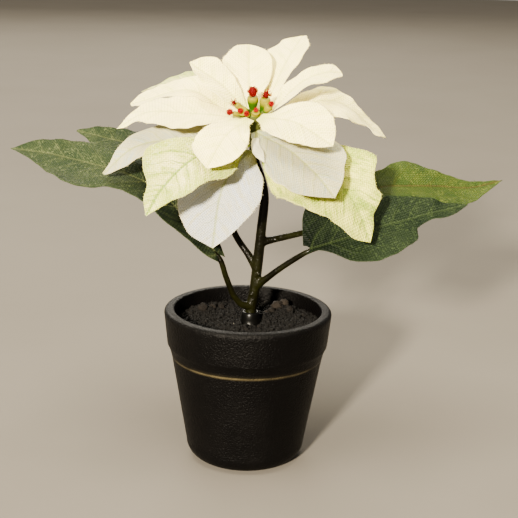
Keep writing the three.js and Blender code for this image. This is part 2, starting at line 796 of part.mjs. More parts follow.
// ---- the head: a green receptacle with its buds, and the red stamens on each bud ----
// Each bud: its place on the head [x, y], height of its foot, length, radius and lean outwards.
const BUDS = [
  { x: -1.2, y: 1.8, foot: 3.1, length: 8.5, radius: 2.9, lean: [-0.02, 0.05], tuft: 2 },
  { x: 4.2, y: 1.6, foot: 2.6, length: 8.6, radius: 2.8, lean: [0.12, 0.02], tuft: 1.7 },
  { x: 5, y: -1.6, foot: 4.3, length: 4.8, radius: 2.1, lean: [0.6, -0.1], tuft: 0.9 },
  { x: -5.4, y: 0.6, foot: 3.6, length: 6.2, radius: 1.7, lean: [-1.1, -0.1], tuft: 1.2 },
  { x: -6, y: -3.2, foot: 2.8, length: 6, radius: 1.3, lean: [-2.2, -0.7], tuft: 1.2 },
  { x: -4, y: -1, foot: 3.8, length: 4.6, radius: 2.6, lean: [-1.3, -1.4], tuft: 0.9 },
  { x: -3, y: -3.2, foot: 2.8, length: 2.8, radius: 1.3, lean: [-0.5, -1], tuft: 0.9 },
  { x: 0.4, y: -2.8, foot: 2.6, length: 2.8, radius: 2.2, lean: [0, -0.1], tuft: 0.7 },
];

function receptacle() {
  const profile = [
    [0, -21],
    [2.4, -21],
    [2.8, -12],
    [3.6, -5],
    [4.4, -1],
    [4.7, 1.5],
    [3.4, 3.6],
    [0, 4.4],
  ];
  const parts = [turned(profile, 14)];
  for (const bud of BUDS) parts.push(budGeometry(bud));
  return piece("flower_head", union(parts).applyMatrix4(headFrame), COLOURS.bud, 0.4);
}

function budTurn(bud) {
  const axis = new THREE.Vector3(bud.lean[0], bud.lean[1], 1).normalize();
  return new THREE.Quaternion().setFromUnitVectors(UP, axis);
}

function budPlace(geometry, bud) {
  return geometry.applyQuaternion(budTurn(bud)).translate(bud.x, bud.y, bud.foot);
}

// A bud: a slim stalk that runs down into the receptacle and an egg-shaped cup on it.
function budGeometry(bud) {
  const { radius, length } = bud;
  const cup = [
    [0, -0.3 * length],
    [radius * 0.5, -0.3 * length],
    [radius * 0.62, 0.1 * length],
    [radius, 0.48 * length],
    [radius * 0.94, 0.72 * length],
    [radius * 0.55, 0.95 * length],
    [0, length],
  ];
  const stalkLine = [
    [0, 0, -2, 1.6],
    [0.6 * bud.x, 0.6 * bud.y, 0.45 * bud.foot, 1.4],
    [bud.x, bud.y, bud.foot + 0.6, 0.5 * radius],
  ];
  return union([budPlace(turned(cup, 8), bud), stalk(stalkLine, 3, 6)]);
}

// The red tuft on a bud: a knob with thin stamens that spread from it, by turns wide and narrow.
const STAMEN_COUNT = 6;
const STAMEN_SPREADS = [0.45, 0.85];

function stamenGeometry(size, i) {
  const angle = (2 * Math.PI * (i + 0.3 * (i % 2))) / STAMEN_COUNT;
  const spread = STAMEN_SPREADS[i % 2];
  const axis = new THREE.Vector3(spread * Math.cos(angle), spread * Math.sin(angle), 1).normalize();
  return new THREE.ConeGeometry(0.26 * size, 2.1 * size, 3)
    .rotateX(Math.PI / 2)
    .translate(0, 0, 1.05 * size)
    .applyQuaternion(new THREE.Quaternion().setFromUnitVectors(UP, axis))
    .translate(0, 0, 0.8 * size);
}

function tuftGeometry(bud) {
  const size = bud.tuft;
  const knob = new THREE.SphereGeometry(size, 8, 5).rotateX(Math.PI / 2).translate(0, 0, 0.95 * size);
  const parts = [knob];
  for (let i = 0; i < STAMEN_COUNT; i++) parts.push(stamenGeometry(size, i));
  const rise = bud.length + 1.6 * GAP;
  return budPlace(union(parts).translate(0, 0, rise), bud);
}

function stamens() {
  return BUDS.map((bud, i) =>
    piece(`stamens_${i + 1}`, tuftGeometry(bud).applyMatrix4(headFrame), COLOURS.stamen, 0.4),
  );
}

const plant = new THREE.Group();
plant.add(pot(), filler(), soil(), collar(), stem(), receptacle(), ...blades(), ...stamens());

export default plant;
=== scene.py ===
"""Dresses the potted artificial poinsettia: its moulded pot, soil, stem, cloth blades and buds."""

import logging
import math
from dataclasses import dataclass
from enum import Enum
from functools import reduce
from typing import Any, Sequence

import bmesh
import bpy
import numpy as np
from mathutils import Matrix, Vector


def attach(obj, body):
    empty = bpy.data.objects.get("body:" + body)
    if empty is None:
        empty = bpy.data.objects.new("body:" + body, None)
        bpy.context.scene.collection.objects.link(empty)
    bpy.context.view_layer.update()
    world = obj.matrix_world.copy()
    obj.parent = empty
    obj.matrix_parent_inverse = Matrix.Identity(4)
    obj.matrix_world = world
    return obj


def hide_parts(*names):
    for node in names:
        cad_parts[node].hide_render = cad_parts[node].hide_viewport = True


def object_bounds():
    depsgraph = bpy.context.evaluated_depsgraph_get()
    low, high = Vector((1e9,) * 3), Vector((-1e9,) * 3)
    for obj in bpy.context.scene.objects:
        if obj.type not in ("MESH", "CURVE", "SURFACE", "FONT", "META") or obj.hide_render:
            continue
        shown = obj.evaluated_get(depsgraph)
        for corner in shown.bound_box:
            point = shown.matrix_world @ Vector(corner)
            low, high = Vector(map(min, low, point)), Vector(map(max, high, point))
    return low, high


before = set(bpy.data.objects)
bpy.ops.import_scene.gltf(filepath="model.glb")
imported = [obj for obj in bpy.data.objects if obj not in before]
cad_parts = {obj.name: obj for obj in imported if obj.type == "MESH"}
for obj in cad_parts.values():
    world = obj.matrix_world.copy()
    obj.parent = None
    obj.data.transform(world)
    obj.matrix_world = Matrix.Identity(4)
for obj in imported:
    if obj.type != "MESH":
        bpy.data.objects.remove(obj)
CAD_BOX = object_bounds()

LOG = logging.getLogger("poinsettia")
MM = 0.001
FULL_TURN = 2 * math.pi
Colour = tuple[float, float, float]
Socket = bpy.types.NodeSocket
BODY = "root"

# Lengths are in millimetres unless a comment or docstring says otherwise.
HEAD = np.array([1.0, -7.0, 188.0])  # where the bracts spring from
HEAD_TILT = math.radians(18)  # how far the head leans to the front
STEM_X = 1.4  # how far the stem stands from the pot's axis
GAP = 0.3  # clearance between pieces that touch
VEIN_SLANT = 0.8  # how far a side vein runs forward for each millimetre outward
VEIN_CURVE = 0.018  # how much more it does so with each further millimetre
VEIN_LEAN = 1.35  # the veins' spacing along the rib over their spacing square to a vein


# ---------------------------------------------------------------- node trees


class Graph:
    """A node tree under construction, with short calls for the nodes that it uses most."""

    def __init__(self, tree: bpy.types.NodeTree) -> None:
        """Keeps the shader or geometry tree that gets the nodes."""
        self.tree = tree

    def node(self, kind: str, inputs: dict[Any, Any] | None = None, **settings: Any) -> Any:
        """Adds one node.

        Args:
            kind: The node's type name.
            inputs: Sockets to link, or values to set, by the input's name or number.
            **settings: Attributes of the node itself, such as its operation.

        Returns:
            The new node.
        """
        made = self.tree.nodes.new(kind)
        for name, value in settings.items():
            setattr(made, name, value)
        for name, value in (inputs or {}).items():
            self.feed(made.inputs[name], value)
        return made

    def feed(self, socket: Socket, value: Any) -> None:
        """Links a socket to an input, or sets the input's own value.

        Args:
            socket: The input.
            value: The socket to link, or the value to set.
        """
        if isinstance(value, bpy.types.NodeSocket):
            self.tree.links.new(value, socket)
        elif isinstance(value, tuple) and len(value) == 3 and socket.type == "RGBA":
            socket.default_value = (*value, 1.0)
        else:
            socket.default_value = value

    def math(self, operation: str, *values: Any) -> Socket:
        """Adds a Math node for sockets or numbers and returns its result."""
        return self.node("ShaderNodeMath", dict(enumerate(values)), operation=operation).outputs[0]

    def times(self, first: Any, *others: Any) -> Socket:
        """Multiplies values, each a socket or a number."""
        return reduce(lambda a, b: self.math("MULTIPLY", a, b), others, first)

    def plus(self, first: Any, *others: Any) -> Socket:
        """Adds up values, each a socket or a number."""
        return reduce(lambda a, b: self.math("ADD", a, b), others, first)

    def minus(self, first: Any, second: Any) -> Socket:
        """Takes the second value from the first."""
        return self.math("SUBTRACT", first, second)

    def over(self, first: Any, second: Any) -> Socket:
        """Divides the first value by the second."""
        return self.math("DIVIDE", first, second)

    def ramp(self, value: Any, low: float, high: float) -> Socket:
        """Takes a value smoothly from 0 at low to 1 at high."""
        inputs = {"Value": value, "From Min": low, "From Max": high}
        return self.node("ShaderNodeMapRange", inputs, interpolation_type="SMOOTHSTEP").outputs[0]

    def blend(self, share: Any, first: Any, second: Any) -> Socket:
        """Mixes two colours.

        Args:
            share: How much of the second colour shows, from 0 to 1.
            first: The first colour or its socket.
            second: The second colour or its socket.

        Returns:
            The mixed colour's socket.
        """
        made = self.node("ShaderNodeMix", data_type="RGBA")
        for number, value in ((0, share), (6, first), (7, second)):
            self.feed(made.inputs[number], value)
        return made.outputs[2]

    def noise(self, place: Socket, scale: float, detail: float = 3.0) -> Socket:
        """Adds a Noise Texture over the given coordinates and returns its factor."""
        inputs = {"Vector": place, "Scale": scale, "Detail": detail, "Roughness": 0.6}
        return self.node("ShaderNodeTexNoise", inputs).outputs["Fac"]

    def uneven(self, noise: Socket, depth: float) -> Socket:
        """Turns a noise from 0 to 1 into one that swings by half the depth round 0."""
        return self.times(self.minus(noise, 0.5), depth)

    def attribute(self, name: str, output: str = "Fac") -> Socket:
        """Reads one of the mesh's named attributes in a material."""
        return self.node("ShaderNodeAttribute", attribute_name=name).outputs[output]

    def place(self) -> Socket:
        """Reads the object's own coordinates in a material."""
        return self.node("ShaderNodeTexCoord").outputs["Object"]

    def split(self, vector: Any) -> tuple[Socket, ...]:
        """Splits a vector into its three numbers."""
        return tuple(self.node("ShaderNodeSeparateXYZ", {0: vector}).outputs)

    def join(self, x: Any = 0.0, y: Any = 0.0, z: Any = 0.0) -> Socket:
        """Joins three numbers into a vector."""
        return self.node("ShaderNodeCombineXYZ", {0: x, 1: y, 2: z}).outputs[0]

    def scaled(self, vector: Any, factor: Any) -> Socket:
        """Scales a vector or a colour."""
        inputs = {0: vector, "Scale": factor}
        return self.node("ShaderNodeVectorMath", inputs, operation="SCALE").outputs[0]

    def draw(self, seed: Any, low: Any = 0.0, high: Any = 1.0) -> Socket:
        """Draws a random number for each point or instance of a geometry.

        Args:
            seed: The draw's seed.
            low: The lower bound, a number or a vector.
            high: The upper bound, of the same kind.

        Returns:
            The drawn value's socket.
        """
        vector = isinstance(high, tuple)
        kind = "FLOAT_VECTOR" if vector else "FLOAT"
        made = self.node("FunctionNodeRandomValue", {"Seed": seed}, data_type=kind)
        first = 0 if vector else 2
        made.inputs[first].default_value = low
        made.inputs[first + 1].default_value = high
        return made.outputs[0 if vector else 1]


@dataclass(frozen=True)
class Patches:
    """Soft patches of noise: 0 where the noise is under low, and 1 where it is over high."""

    scale: float
    low: float
    high: float
    detail: float = 3.0

    def mask(self, graph: Graph, place: Socket) -> Socket:
        """Returns the patches' mask over the given coordinates."""
        return graph.ramp(graph.noise(place, self.scale, self.detail), self.low, self.high)


class SharedGroup:
    """A shader node group that is built once and placed in each material that wants its effect."""

    name: str = ""
    inputs: dict[str, tuple[str, Any]] = {}
    outputs: dict[str, str] = {}

    def build(self, graph: Graph, source: Any) -> dict[str, Socket]:
        """Adds the effect's nodes and returns the sockets of the group's outputs, by name."""
        raise NotImplementedError

    def tree(self) -> bpy.types.NodeTree:
        """Builds the group's tree on the first call.

        Returns:
            The tree.
        """
        known = bpy.data.node_groups.get(self.name)
        if known:
            return known
        tree = bpy.data.node_groups.new(self.name, "ShaderNodeTree")
        for label, (kind, value) in self.inputs.items():
            socket = tree.interface.new_socket(label, in_out="INPUT", socket_type=kind)
            if value is not None:
                socket.default_value = value
        for label, kind in self.outputs.items():
            tree.interface.new_socket(label, in_out="OUTPUT", socket_type=kind)
        graph = Graph(tree)
        source = graph.node("NodeGroupInput")
        graph.node("NodeGroupOutput", self.build(graph, source))
        return tree

    def place(self, graph: Graph, **values: Any) -> Any:
        """Places the group in a material and returns its node's outputs."""
        return graph.node("ShaderNodeGroup", values, node_tree=self.tree()).outputs


FLOAT = "NodeSocketFloat"
INTEGER = "NodeSocketInt"
VECTOR = "NodeSocketVector"
COLOUR = "NodeSocketColor"
MATERIAL = "NodeSocketMaterial"


class Weave(SharedGroup):
    """Plain weave: threads that pass over and under each other, some thicker than the rest."""

    name = "plain_weave"
    inputs = {"Place": (VECTOR, None), "Pitch": (FLOAT, 0.5), "Slub": (FLOAT, 0.5)}
    outputs = {"Height": FLOAT, "Tone": FLOAT}
    slub_stretch = 0.06  # a slub's width over its length

    def build(self, graph: Graph, source: Any) -> dict[str, Socket]:
        """Adds the threads of both directions. See SharedGroup.build."""
        x, y, _ = graph.split(source.outputs["Place"])
        step = graph.times(source.outputs["Pitch"], math.sqrt(2))
        thread = [graph.over(axis, step) for axis in (graph.plus(x, y), graph.minus(x, y))]
        crown = [
            graph.math("ABSOLUTE", graph.math("SINE", graph.times(t, math.pi))) for t in thread
        ]
        cell = [graph.math("FLOOR", t) for t in thread]
        parity = graph.math("PINGPONG", graph.plus(*cell), 1.0)
        over = graph.times(crown[0], parity)
        under = graph.times(crown[1], graph.minus(1.0, parity))
        slub = [self.slub(graph, t, other) for t, other in zip(thread, reversed(thread))]
        uneven = graph.times(graph.plus(*slub), source.outputs["Slub"])
        return {"Height": graph.plus(over, under, uneven), "Tone": uneven}

    def slub(self, graph: Graph, across: Socket, along: Socket) -> Socket:
        """Makes streaks that are one thread wide and many threads long."""
        place = graph.join(across, graph.times(along, self.slub_stretch))
        return graph.minus(graph.noise(place, 0.9, 2.0), 0.5)


class Veins(SharedGroup):
    """A blade's midrib, its side veins, which leave the midrib at a slant and curve forward, and
    streaks that run beside them."""

    name = "blade_veins"
    inputs = {
        "Cut": (VECTOR, None),
        "Spacing": (FLOAT, 9.0),
        "Slant": (FLOAT, VEIN_SLANT),
        "Width": (FLOAT, 0.35),
    }
    outputs = {"Side": FLOAT, "Midrib": FLOAT, "Streak": FLOAT}
    wander = 5.0
    taper = 0.75  # how much of its width a side vein loses on its way to the edge
    least_width = 0.2
    midrib_width = 1.5  # over the side veins' width
    streaks = Patches(1.0, 0.42, 0.64, 4.0)

    def build(self, graph: Graph, source: Any) -> dict[str, Socket]:
        """Adds the masks of the veins. See SharedGroup.build."""
        cut, spacing, slant, width = source.outputs[:4]
        x, along, outward = graph.split(cut)
        across = graph.math("ABSOLUTE", x)
        warp = graph.uneven(graph.noise(cut, 0.12, 2.0), self.wander)
        bent = graph.times(across, across, VEIN_CURVE)
        start = graph.minus(graph.minus(along, graph.times(across, slant)), bent)
        start = graph.plus(start, warp)
        row = graph.over(start, spacing)
        off = graph.math("ABSOLUTE", graph.minus(row, graph.math("ROUND", row)))
        far = graph.over(graph.times(off, spacing), VEIN_LEAN)
        taper = graph.minus(1.0, graph.times(outward, self.taper))
        side_width = graph.times(width, graph.math("MAXIMUM", taper, self.least_width))
        streaked = graph.join(graph.times(start, 0.36), graph.times(x, 0.07))
        return {
            "Side": self.line(graph, far, side_width),
            "Midrib": self.line(graph, across, graph.times(width, self.midrib_width)),
            "Streak": self.streaks.mask(graph, streaked),
        }

    @staticmethod
    def line(graph: Graph, far: Socket, width: Socket) -> Socket:
        """Makes a mask that is 1 on a line and fades to 0 at twice its width."""
        return graph.minus(1.0, graph.ramp(graph.over(far, width), 0.5, 2.0))


class Grain(SharedGroup):
    """The fine even grain of moulded plastic, with broad patches a little smoother or rougher."""

    name = "moulded_grain"
    inputs = {"Place": (VECTOR, None), "Size": (FLOAT, 0.5)}
    outputs = {"Height": FLOAT, "Patch": FLOAT}

    def build(self, graph: Graph, source: Any) -> dict[str, Socket]:
        """Adds fine and broad noise. See SharedGroup.build."""
        place, size = source.outputs[:2]
        fine = graph.scaled(place, graph.over(1 / MM, size))
        return {"Height": graph.noise(fine, 1.0, 2.0), "Patch": graph.noise(place, 45.0, 4.0)}


class Dust(SharedGroup):
    """A thin uneven film of pale dust on what faces up."""

    name = "settled_dust"
    inputs = {"Colour": (COLOUR, (0.5, 0.5, 0.5, 1.0)), "Amount": (FLOAT, 0.1)}
    outputs = {"Colour": COLOUR, "Mask": FLOAT}
    film = (0.5, 0.48, 0.44)
    specks = Patches(900.0, 0.45, 0.75)

    def build(self, graph: Graph, source: Any) -> dict[str, Socket]:
        """Adds dust by the surface's slope. See SharedGroup.build."""
        colour, amount = source.outputs[:2]
        _, _, up = graph.split(graph.node("ShaderNodeNewGeometry").outputs["Normal"])
        specks = graph.plus(self.specks.mask(graph, graph.place()), 0.25)
        mask = graph.times(graph.ramp(up, 0.1, 0.95), amount, specks)
        return {"Colour": graph.blend(mask, colour, self.film), "Mask": mask}


WEAVE, VEINS, GRAIN, DUST = Weave(), Veins(), Grain(), Dust()


# ---------------------------------------------------------------- finishes


def new_material(name: str, **sockets: Any) -> tuple[bpy.types.Material, Graph, Any]:
    """Makes a material with one Principled shader.

    Args:
        name: The material's name.
        **sockets: Constants for the shader's own sockets, with _ for a space in a name.

    Returns:
        The material, its graph and its shader.
    """
    made = bpy.data.materials.new(name)
    made.use_nodes = True
    graph = Graph(made.node_tree)
    shader = made.node_tree.nodes["Principled BSDF"]
    for label, value in sockets.items():
        graph.feed(shader.inputs[label.replace("_", " ")], value)
    return made, graph, shader


def dress(graph: Graph, shader: Any, colour: Socket, rough: Socket) -> None:
    """Feeds the shader's colour and roughness."""
    graph.feed(shader.inputs["Base Color"], colour)
    graph.feed(shader.inputs["Roughness"], rough)


def bump(graph: Graph, shader: Any, height: Socket, distance: float, strength: float) -> None:
    """Feeds a height to the shader's normal, with the relief's depth in metres as distance."""
    inputs = {"Height": height, "Distance": distance, "Strength": strength}
    graph.feed(shader.inputs["Normal"], graph.node("ShaderNodeBump", inputs).outputs[0])


@dataclass(frozen=True)
class Coat:
    """What all finishes have: the material's name, and the record's slot that it belongs to."""

    name: str
    slot: str


@dataclass(frozen=True)
class ClothFinish(Coat):
    """Woven cloth of a bract or leaf, printed with veins and tints. Near a leaf's root, the root
    colour is painted shade.

    Colours are linear. The share fields run from 0 to 1.
    """

    base: Colour
    mottle: Colour
    vein: Colour
    # The colour near the root: a real tint on a bract, and painted shade on a leaf.
    root: Colour
    under: Colour
    mottle_share: float = 0.3
    vein_share: float = 0.3
    midrib_share: float = 0.5
    streak_share: float = 0.1
    edge_share: float = 0.0
    frost: Colour = (0.95, 0.95, 0.85)
    frost_share: float = 0.0
    hem: Colour = (0.4, 0.33, 0.14)
    hem_share: float = 0.4
    hem_from: float = 0.965
    under_share: float = 0.8
    root_from: float = 1.0
    root_reach: float = 14.0
    vein_spacing: float = 8.5
    vein_height: float = 0.4
    pitch: float = 1.05
    roughness: float = 0.75
    sheen: float = 0.05
    specular: float = 0.25
    subsurface: float = 0.25
    tone: float = 0.3
    depth: float = 0.0003
    mottling: Patches = Patches(70.0, 0.35, 0.68, 4.0)
    blotches: Patches = Patches(120.0, 0.38, 0.62)
    clouds: Patches = Patches(0.16, 0.38, 0.62, 2.0)
    specks: Patches = Patches(0.9, 0.46, 0.74)

    def tinted(self, graph: Graph, cut: Socket, veins: Any) -> Socket:
        """Lays the print's tints, and the painted shade near a leaf's root, over each other.

        Args:
            graph: The material's graph.
            cut: Distances across and along the blade, and the share of the way to its edge.
            veins: The outputs of the veins' group.

        Returns:
            The printed colour's socket.
        """
        _, along, outward = graph.split(cut)
        place = graph.place()
        # Near the root: a real tint on a bract, painted shade on a leaf, without frost.
        near = graph.minus(1.0, graph.ramp(along, self.root_from, self.root_reach))
        inward = graph.minus(1.0, graph.times(outward, 0.55))
        blotch = graph.plus(0.25, self.blotches.mask(graph, place))
        clouds = graph.plus(0.35, self.clouds.mask(graph, cut))
        frost = graph.times(self.specks.mask(graph, cut), clouds, graph.minus(1.0, near))
        layers = (
            (graph.times(self.mottling.mask(graph, place), self.mottle_share), self.mottle),
            (near, self.root),
            (graph.times(veins["Streak"], blotch, self.streak_share), self.mottle),
            (graph.times(graph.ramp(outward, 0.5, 1.0), self.edge_share), self.mottle),
            (graph.times(veins["Side"], inward, self.vein_share), self.vein),
            (graph.times(veins["Midrib"], self.midrib_share), self.vein),
            (graph.times(frost, self.frost_share), self.frost),
            (graph.times(graph.ramp(outward, self.hem_from, 1.0), self.hem_share), self.hem),
            (graph.times(graph.attribute("under"), self.under_share), self.under),
        )
        colour = self.base
        for mask, tint in layers:
            colour = graph.blend(mask, colour, tint)
        return colour

    def build(self) -> bpy.types.Material:
        """Builds the cloth's material.

        Returns:
            The material.
        """
        material, graph, shader = new_material(
            self.name,
            Sheen_Weight=self.sheen,
            Sheen_Roughness=0.45,
            Subsurface_Weight=self.subsurface,
            Subsurface_Radius=(1.0, 0.9, 0.6),
            Subsurface_Scale=0.0016,
            Specular_IOR_Level=self.specular,
        )
        cut = graph.attribute("cut", "Vector")
        veins = VEINS.place(graph, Cut=cut, Spacing=self.vein_spacing)
        weave = WEAVE.place(graph, Place=cut, Pitch=self.pitch)
        threads = graph.times(weave["Height"], self.tone)
        shade = graph.plus(1.0 - 0.6 * self.tone, threads)
        rough = graph.plus(self.roughness, graph.times(weave["Tone"], 0.3))
        dress(graph, shader, graph.scaled(self.tinted(graph, cut, veins), shade), rough)
        lines = graph.times(graph.plus(veins["Side"], veins["Midrib"]), self.vein_height)
        bump(graph, shader, graph.plus(weave["Height"], lines), self.depth, 0.8)
        return material


@dataclass(frozen=True)
class LeafFinish(ClothFinish):
    """The duller cloth of a green leaf, with veins further apart."""

    mottle_share: float = 0.6
    streak_share: float = 0.5
    vein_spacing: float = 11.0
    roughness: float = 0.6
    sheen: float = 0.0
    specular: float = 0.06
    subsurface: float = 0.0


@dataclass(frozen=True)
class PlasticFinish(Coat):
    """Moulded plastic with a grain, patches of another colour and a film of dust."""

    base: Colour
    patch: Colour
    roughness: float
    patch_share: float = 0.3
    grain_size: float = 0.4
    grain_depth: float = 0.00006
    dust: float = 0.1
    coat: float = 0.0
    specular: float = 0.5
    # The colour of a painted glint, a highlight where the mesh marks one.
    worn: Colour = (0.16, 0.12, 0.06)

    def build(self) -> bpy.types.Material:
        """Builds the plastic's material, with a painted glint, paler and smoother, where its wear
        attribute is 1.

        Returns:
            The material.
        """
        material, graph, shader = new_material(
            self.name,
            Coat_Weight=self.coat,
            Coat_Roughness=0.15,
            Specular_IOR_Level=self.specular,
        )
        grain = GRAIN.place(graph, Place=graph.place(), Size=self.grain_size)
        patch = graph.times(graph.ramp(grain["Patch"], 0.42, 0.66), self.patch_share)
        # A painted glint: paler and smoother where the mesh marks it.
        wear = graph.attribute("wear")
        colour = graph.blend(wear, graph.blend(patch, self.base, self.patch), self.worn)
        dusty = DUST.place(graph, Colour=colour, Amount=self.dust)
        rough = graph.plus(graph.uneven(grain["Patch"], 0.25), self.roughness, dusty["Mask"])
        dress(graph, shader, dusty["Colour"], graph.minus(rough, graph.times(wear, 0.2)))
        bump(graph, shader, grain["Height"], self.grain_depth, 0.7)
        return material


@dataclass(frozen=True)
class TwoToneFinish(Coat):
    """A moulded piece painted from one colour to another by its tone attribute, with a third
    colour where the tone is below 0.
    """

    low: Colour
    high: Colour
    foot: Colour
    roughness: float = 0.35
    coat: float = 0.03
    bump_depth: float = 0.0001

    def build(self) -> bpy.types.Material:
        """Builds the finish's material.

        Returns:
            The material.
        """
        material, graph, shader = new_material(
            self.name, Coat_Weight=self.coat, Coat_Roughness=0.2, Specular_IOR_Level=0.06
        )
        tone, place = graph.attribute("tone"), graph.place()
        uneven = graph.plus(tone, graph.uneven(graph.noise(place, 400.0), 0.5))
        colour = graph.blend(graph.ramp(tone, -0.6, 0.0), self.foot, self.low)
        colour = graph.blend(graph.ramp(uneven, 0.1, 0.9), colour, self.high)
        fine = graph.noise(place, 1500.0, 2.0)
        dress(graph, shader, colour, graph.plus(self.roughness, graph.uneven(fine, 0.3)))
        bump(graph, shader, fine, self.bump_depth, 0.5)
        return material


@dataclass(frozen=True)
class SoilFinish(Coat):
    """Dull crumbs: most black, some brown, and a few nearly white specks that are painted glints,
    by their tone attribute.
    """

    dark: Colour
    brown: Colour
    # The colour of the nearly white specks: painted glints.
    pale: Colour

    def build(self) -> bpy.types.Material:
        """Builds the soil's material.

        Returns:
            The material.
        """
        material, graph, shader = new_material(self.name, Specular_IOR_Level=0.12)
        tone = graph.attribute("tone")
        fine = graph.noise(graph.place(), 1800.0)
        colour = graph.blend(graph.ramp(tone, 0.72, 0.95), self.dark, self.brown)
        # Tones near 1 are the specks that stand for glints: painted highlights.
        colour = graph.blend(graph.ramp(tone, 0.988, 0.992), colour, self.pale)
        colour = graph.blend(graph.times(graph.ramp(fine, 0.5, 0.8), 0.3), colour, self.brown)
        dress(graph, shader, colour, graph.plus(0.7, graph.times(fine, 0.3)))
        bump(graph, shader, fine, 0.0004, 0.8)
        return material


@dataclass(frozen=True)
class FloorFinish(Coat):
    """Plain pale floor."""

    base: Colour
    cloud: Colour = (0.4, 0.39, 0.37)

    def build(self) -> bpy.types.Material:
        """Builds the floor's material.

        Returns:
            The material.
        """
        material, graph, shader = new_material(self.name, Specular_IOR_Level=0.05)
        share = graph.times(graph.noise(graph.place(), 6.0), 0.06)
        colour = graph.blend(share, self.base, self.cloud)
        dress(graph, shader, colour, graph.plus(0.8, share))
        return material


class Finish(Enum):
    """The finishes of the plant and its floor."""

    # The pot gets a painted glint along its step, in a dull brass colour.
    POT = PlasticFinish(
        "black_grained_plastic", "pot", (0.0009, 0.0008, 0.0008), (0.002, 0.0018, 0.0016), 0.42,
        dust=0.004, specular=0.04, grain_size=1.0, grain_depth=0.0009, worn=(0.05, 0.04, 0.02),
    )
    FILLER = PlasticFinish("cast_filler", "filler", (0.4, 0.39, 0.37), (0.3, 0.29, 0.27), 0.9)
    COLLAR = PlasticFinish(
        "black_glue", "collar", (0.0008, 0.0008, 0.0008), (0.0015, 0.0015, 0.001), 0.3, coat=0.03,
        dust=0.0, specular=0.1,
    )
    STEM = PlasticFinish(
        "olive_brown_moulding", "stem", (0.0012, 0.001, 0.0003), (0.006, 0.0065, 0.001), 0.32,
        patch_share=0.7, grain_size=1.1, grain_depth=0.0005, dust=0.0, coat=0.04, specular=0.06,
    )
    SOIL = SoilFinish(
        "soil_crumbs", "soil", (0.0009, 0.0008, 0.0007), (0.009, 0.0065, 0.0045),
        (0.2, 0.185, 0.16),
    )
    BUDS = TwoToneFinish(
        "green_to_yellow_moulding", "buds", (0.016, 0.05, 0.0), (0.15, 0.132, 0.0),
        (0.045, 0.05, 0.01),
    )
    STAMENS = TwoToneFinish(
        "dark_to_bright_red", "stamens", (0.06, 0.0, 0.0), (0.27, 0.0, 0.0), (0.03, 0.0, 0.0), 0.7,
        0.0,
    )
    WHITE = ClothFinish(
        "cream_cloth", "white_cloth", (0.98, 0.83, 0.31), (0.82, 0.75, 0.2), (0.5, 0.5, 0.1),
        (0.56, 0.56, 0.12), (0.84, 0.78, 0.52), vein_share=0.36, streak_share=0.75,
    )
    # A darker, greyer copy of the cream cloth: painted shade for the front bracts that face down,
    # away from the light.
    SIDE = ClothFinish(
        "grey_white_cloth", "white_cloth", (0.34, 0.315, 0.165), (0.27, 0.29, 0.22),
        (0.22, 0.24, 0.05), (0.3, 0.32, 0.08), (0.44, 0.41, 0.24), vein_share=0.5, midrib_share=0.6,
        streak_share=0.8, depth=0.00015,
    )
    COOL = ClothFinish(
        "cool_white_cloth", "white_cloth", (0.35, 0.37, 0.385), (0.38, 0.35, 0.18),
        (0.2, 0.23, 0.05), (0.4, 0.42, 0.12), (0.42, 0.42, 0.28), vein_share=0.25, midrib_share=0.6,
        streak_share=0.5, edge_share=0.15,
    )
    GREENISH = ClothFinish(
        "yellow_green_cloth", "green_white_cloth", (0.62, 0.6, 0.1), (0.2, 0.28, 0.008),
        (0.1, 0.17, 0.004), (0.3, 0.38, 0.02), (0.56, 0.57, 0.2), mottle_share=0.8, vein_share=0.6,
        streak_share=0.85, edge_share=0.35, frost=(0.75, 0.7, 0.2), frost_share=0.25,
    )
    PALE_GREEN = ClothFinish(
        "pale_green_cloth", "green_white_cloth", (0.66, 0.6, 0.2), (0.24, 0.31, 0.012),
        (0.13, 0.2, 0.006), (0.34, 0.42, 0.03), (0.6, 0.6, 0.26), mottle_share=0.7, vein_share=0.85,
        midrib_share=0.9, streak_share=0.8, edge_share=0.55, frost_share=0.15,
    )
    # The leaves' dark root colours, which reach far along them, are painted shade from the bracts
    # above.
    LEAF = LeafFinish(
        "leaf_green_cloth", "leaf_cloth", (0.009, 0.017, 0.0065), (0.022, 0.031, 0.011),
        (0.07, 0.08, 0.03), (0.0035, 0.0065, 0.0028), (0.02, 0.035, 0.009), midrib_share=0.35,
        tone=0.55, frost=(0.075, 0.09, 0.036), frost_share=0.65, root_from=38.0, root_reach=84.0,
        hem=(0.04, 0.055, 0.016), hem_share=0.25,
    )
    # A darker copy of the leaf cloth: painted shade for the leaf that lies in the shadow of the
    # bracts.
    DARK_LEAF = LeafFinish(
        "shaded_leaf_cloth", "leaf_cloth", (0.0026, 0.0062, 0.0024), (0.008, 0.014, 0.0048),
        (0.022, 0.034, 0.01), (0.001, 0.0025, 0.001), (0.018, 0.028, 0.009), midrib_share=0.3,
        streak_share=0.4, tone=0.4, frost=(0.036, 0.055, 0.018), frost_share=0.45, root_reach=30.0,
        hem=(0.018, 0.032, 0.009),
    )
    BRIGHT_LEAF = LeafFinish(
        "bright_leaf_cloth", "leaf_cloth", (0.014, 0.028, 0.0035), (0.028, 0.042, 0.005),
        (0.036, 0.014, 0.006), (0.006, 0.012, 0.002), (0.02, 0.034, 0.008), vein_share=0.15,
        midrib_share=0.45, roughness=0.5, tone=0.75, depth=0.0004, frost=(0.09, 0.105, 0.018),
        frost_share=0.55, root_reach=55.0, hem=(0.04, 0.07, 0.005),
    )
    FLOOR = FloorFinish("pale_floor", "", (0.1, 0.09, 0.075))

    @property
    def slot(self) -> str:
        """Returns the record's slot."""
        return self.value.slot

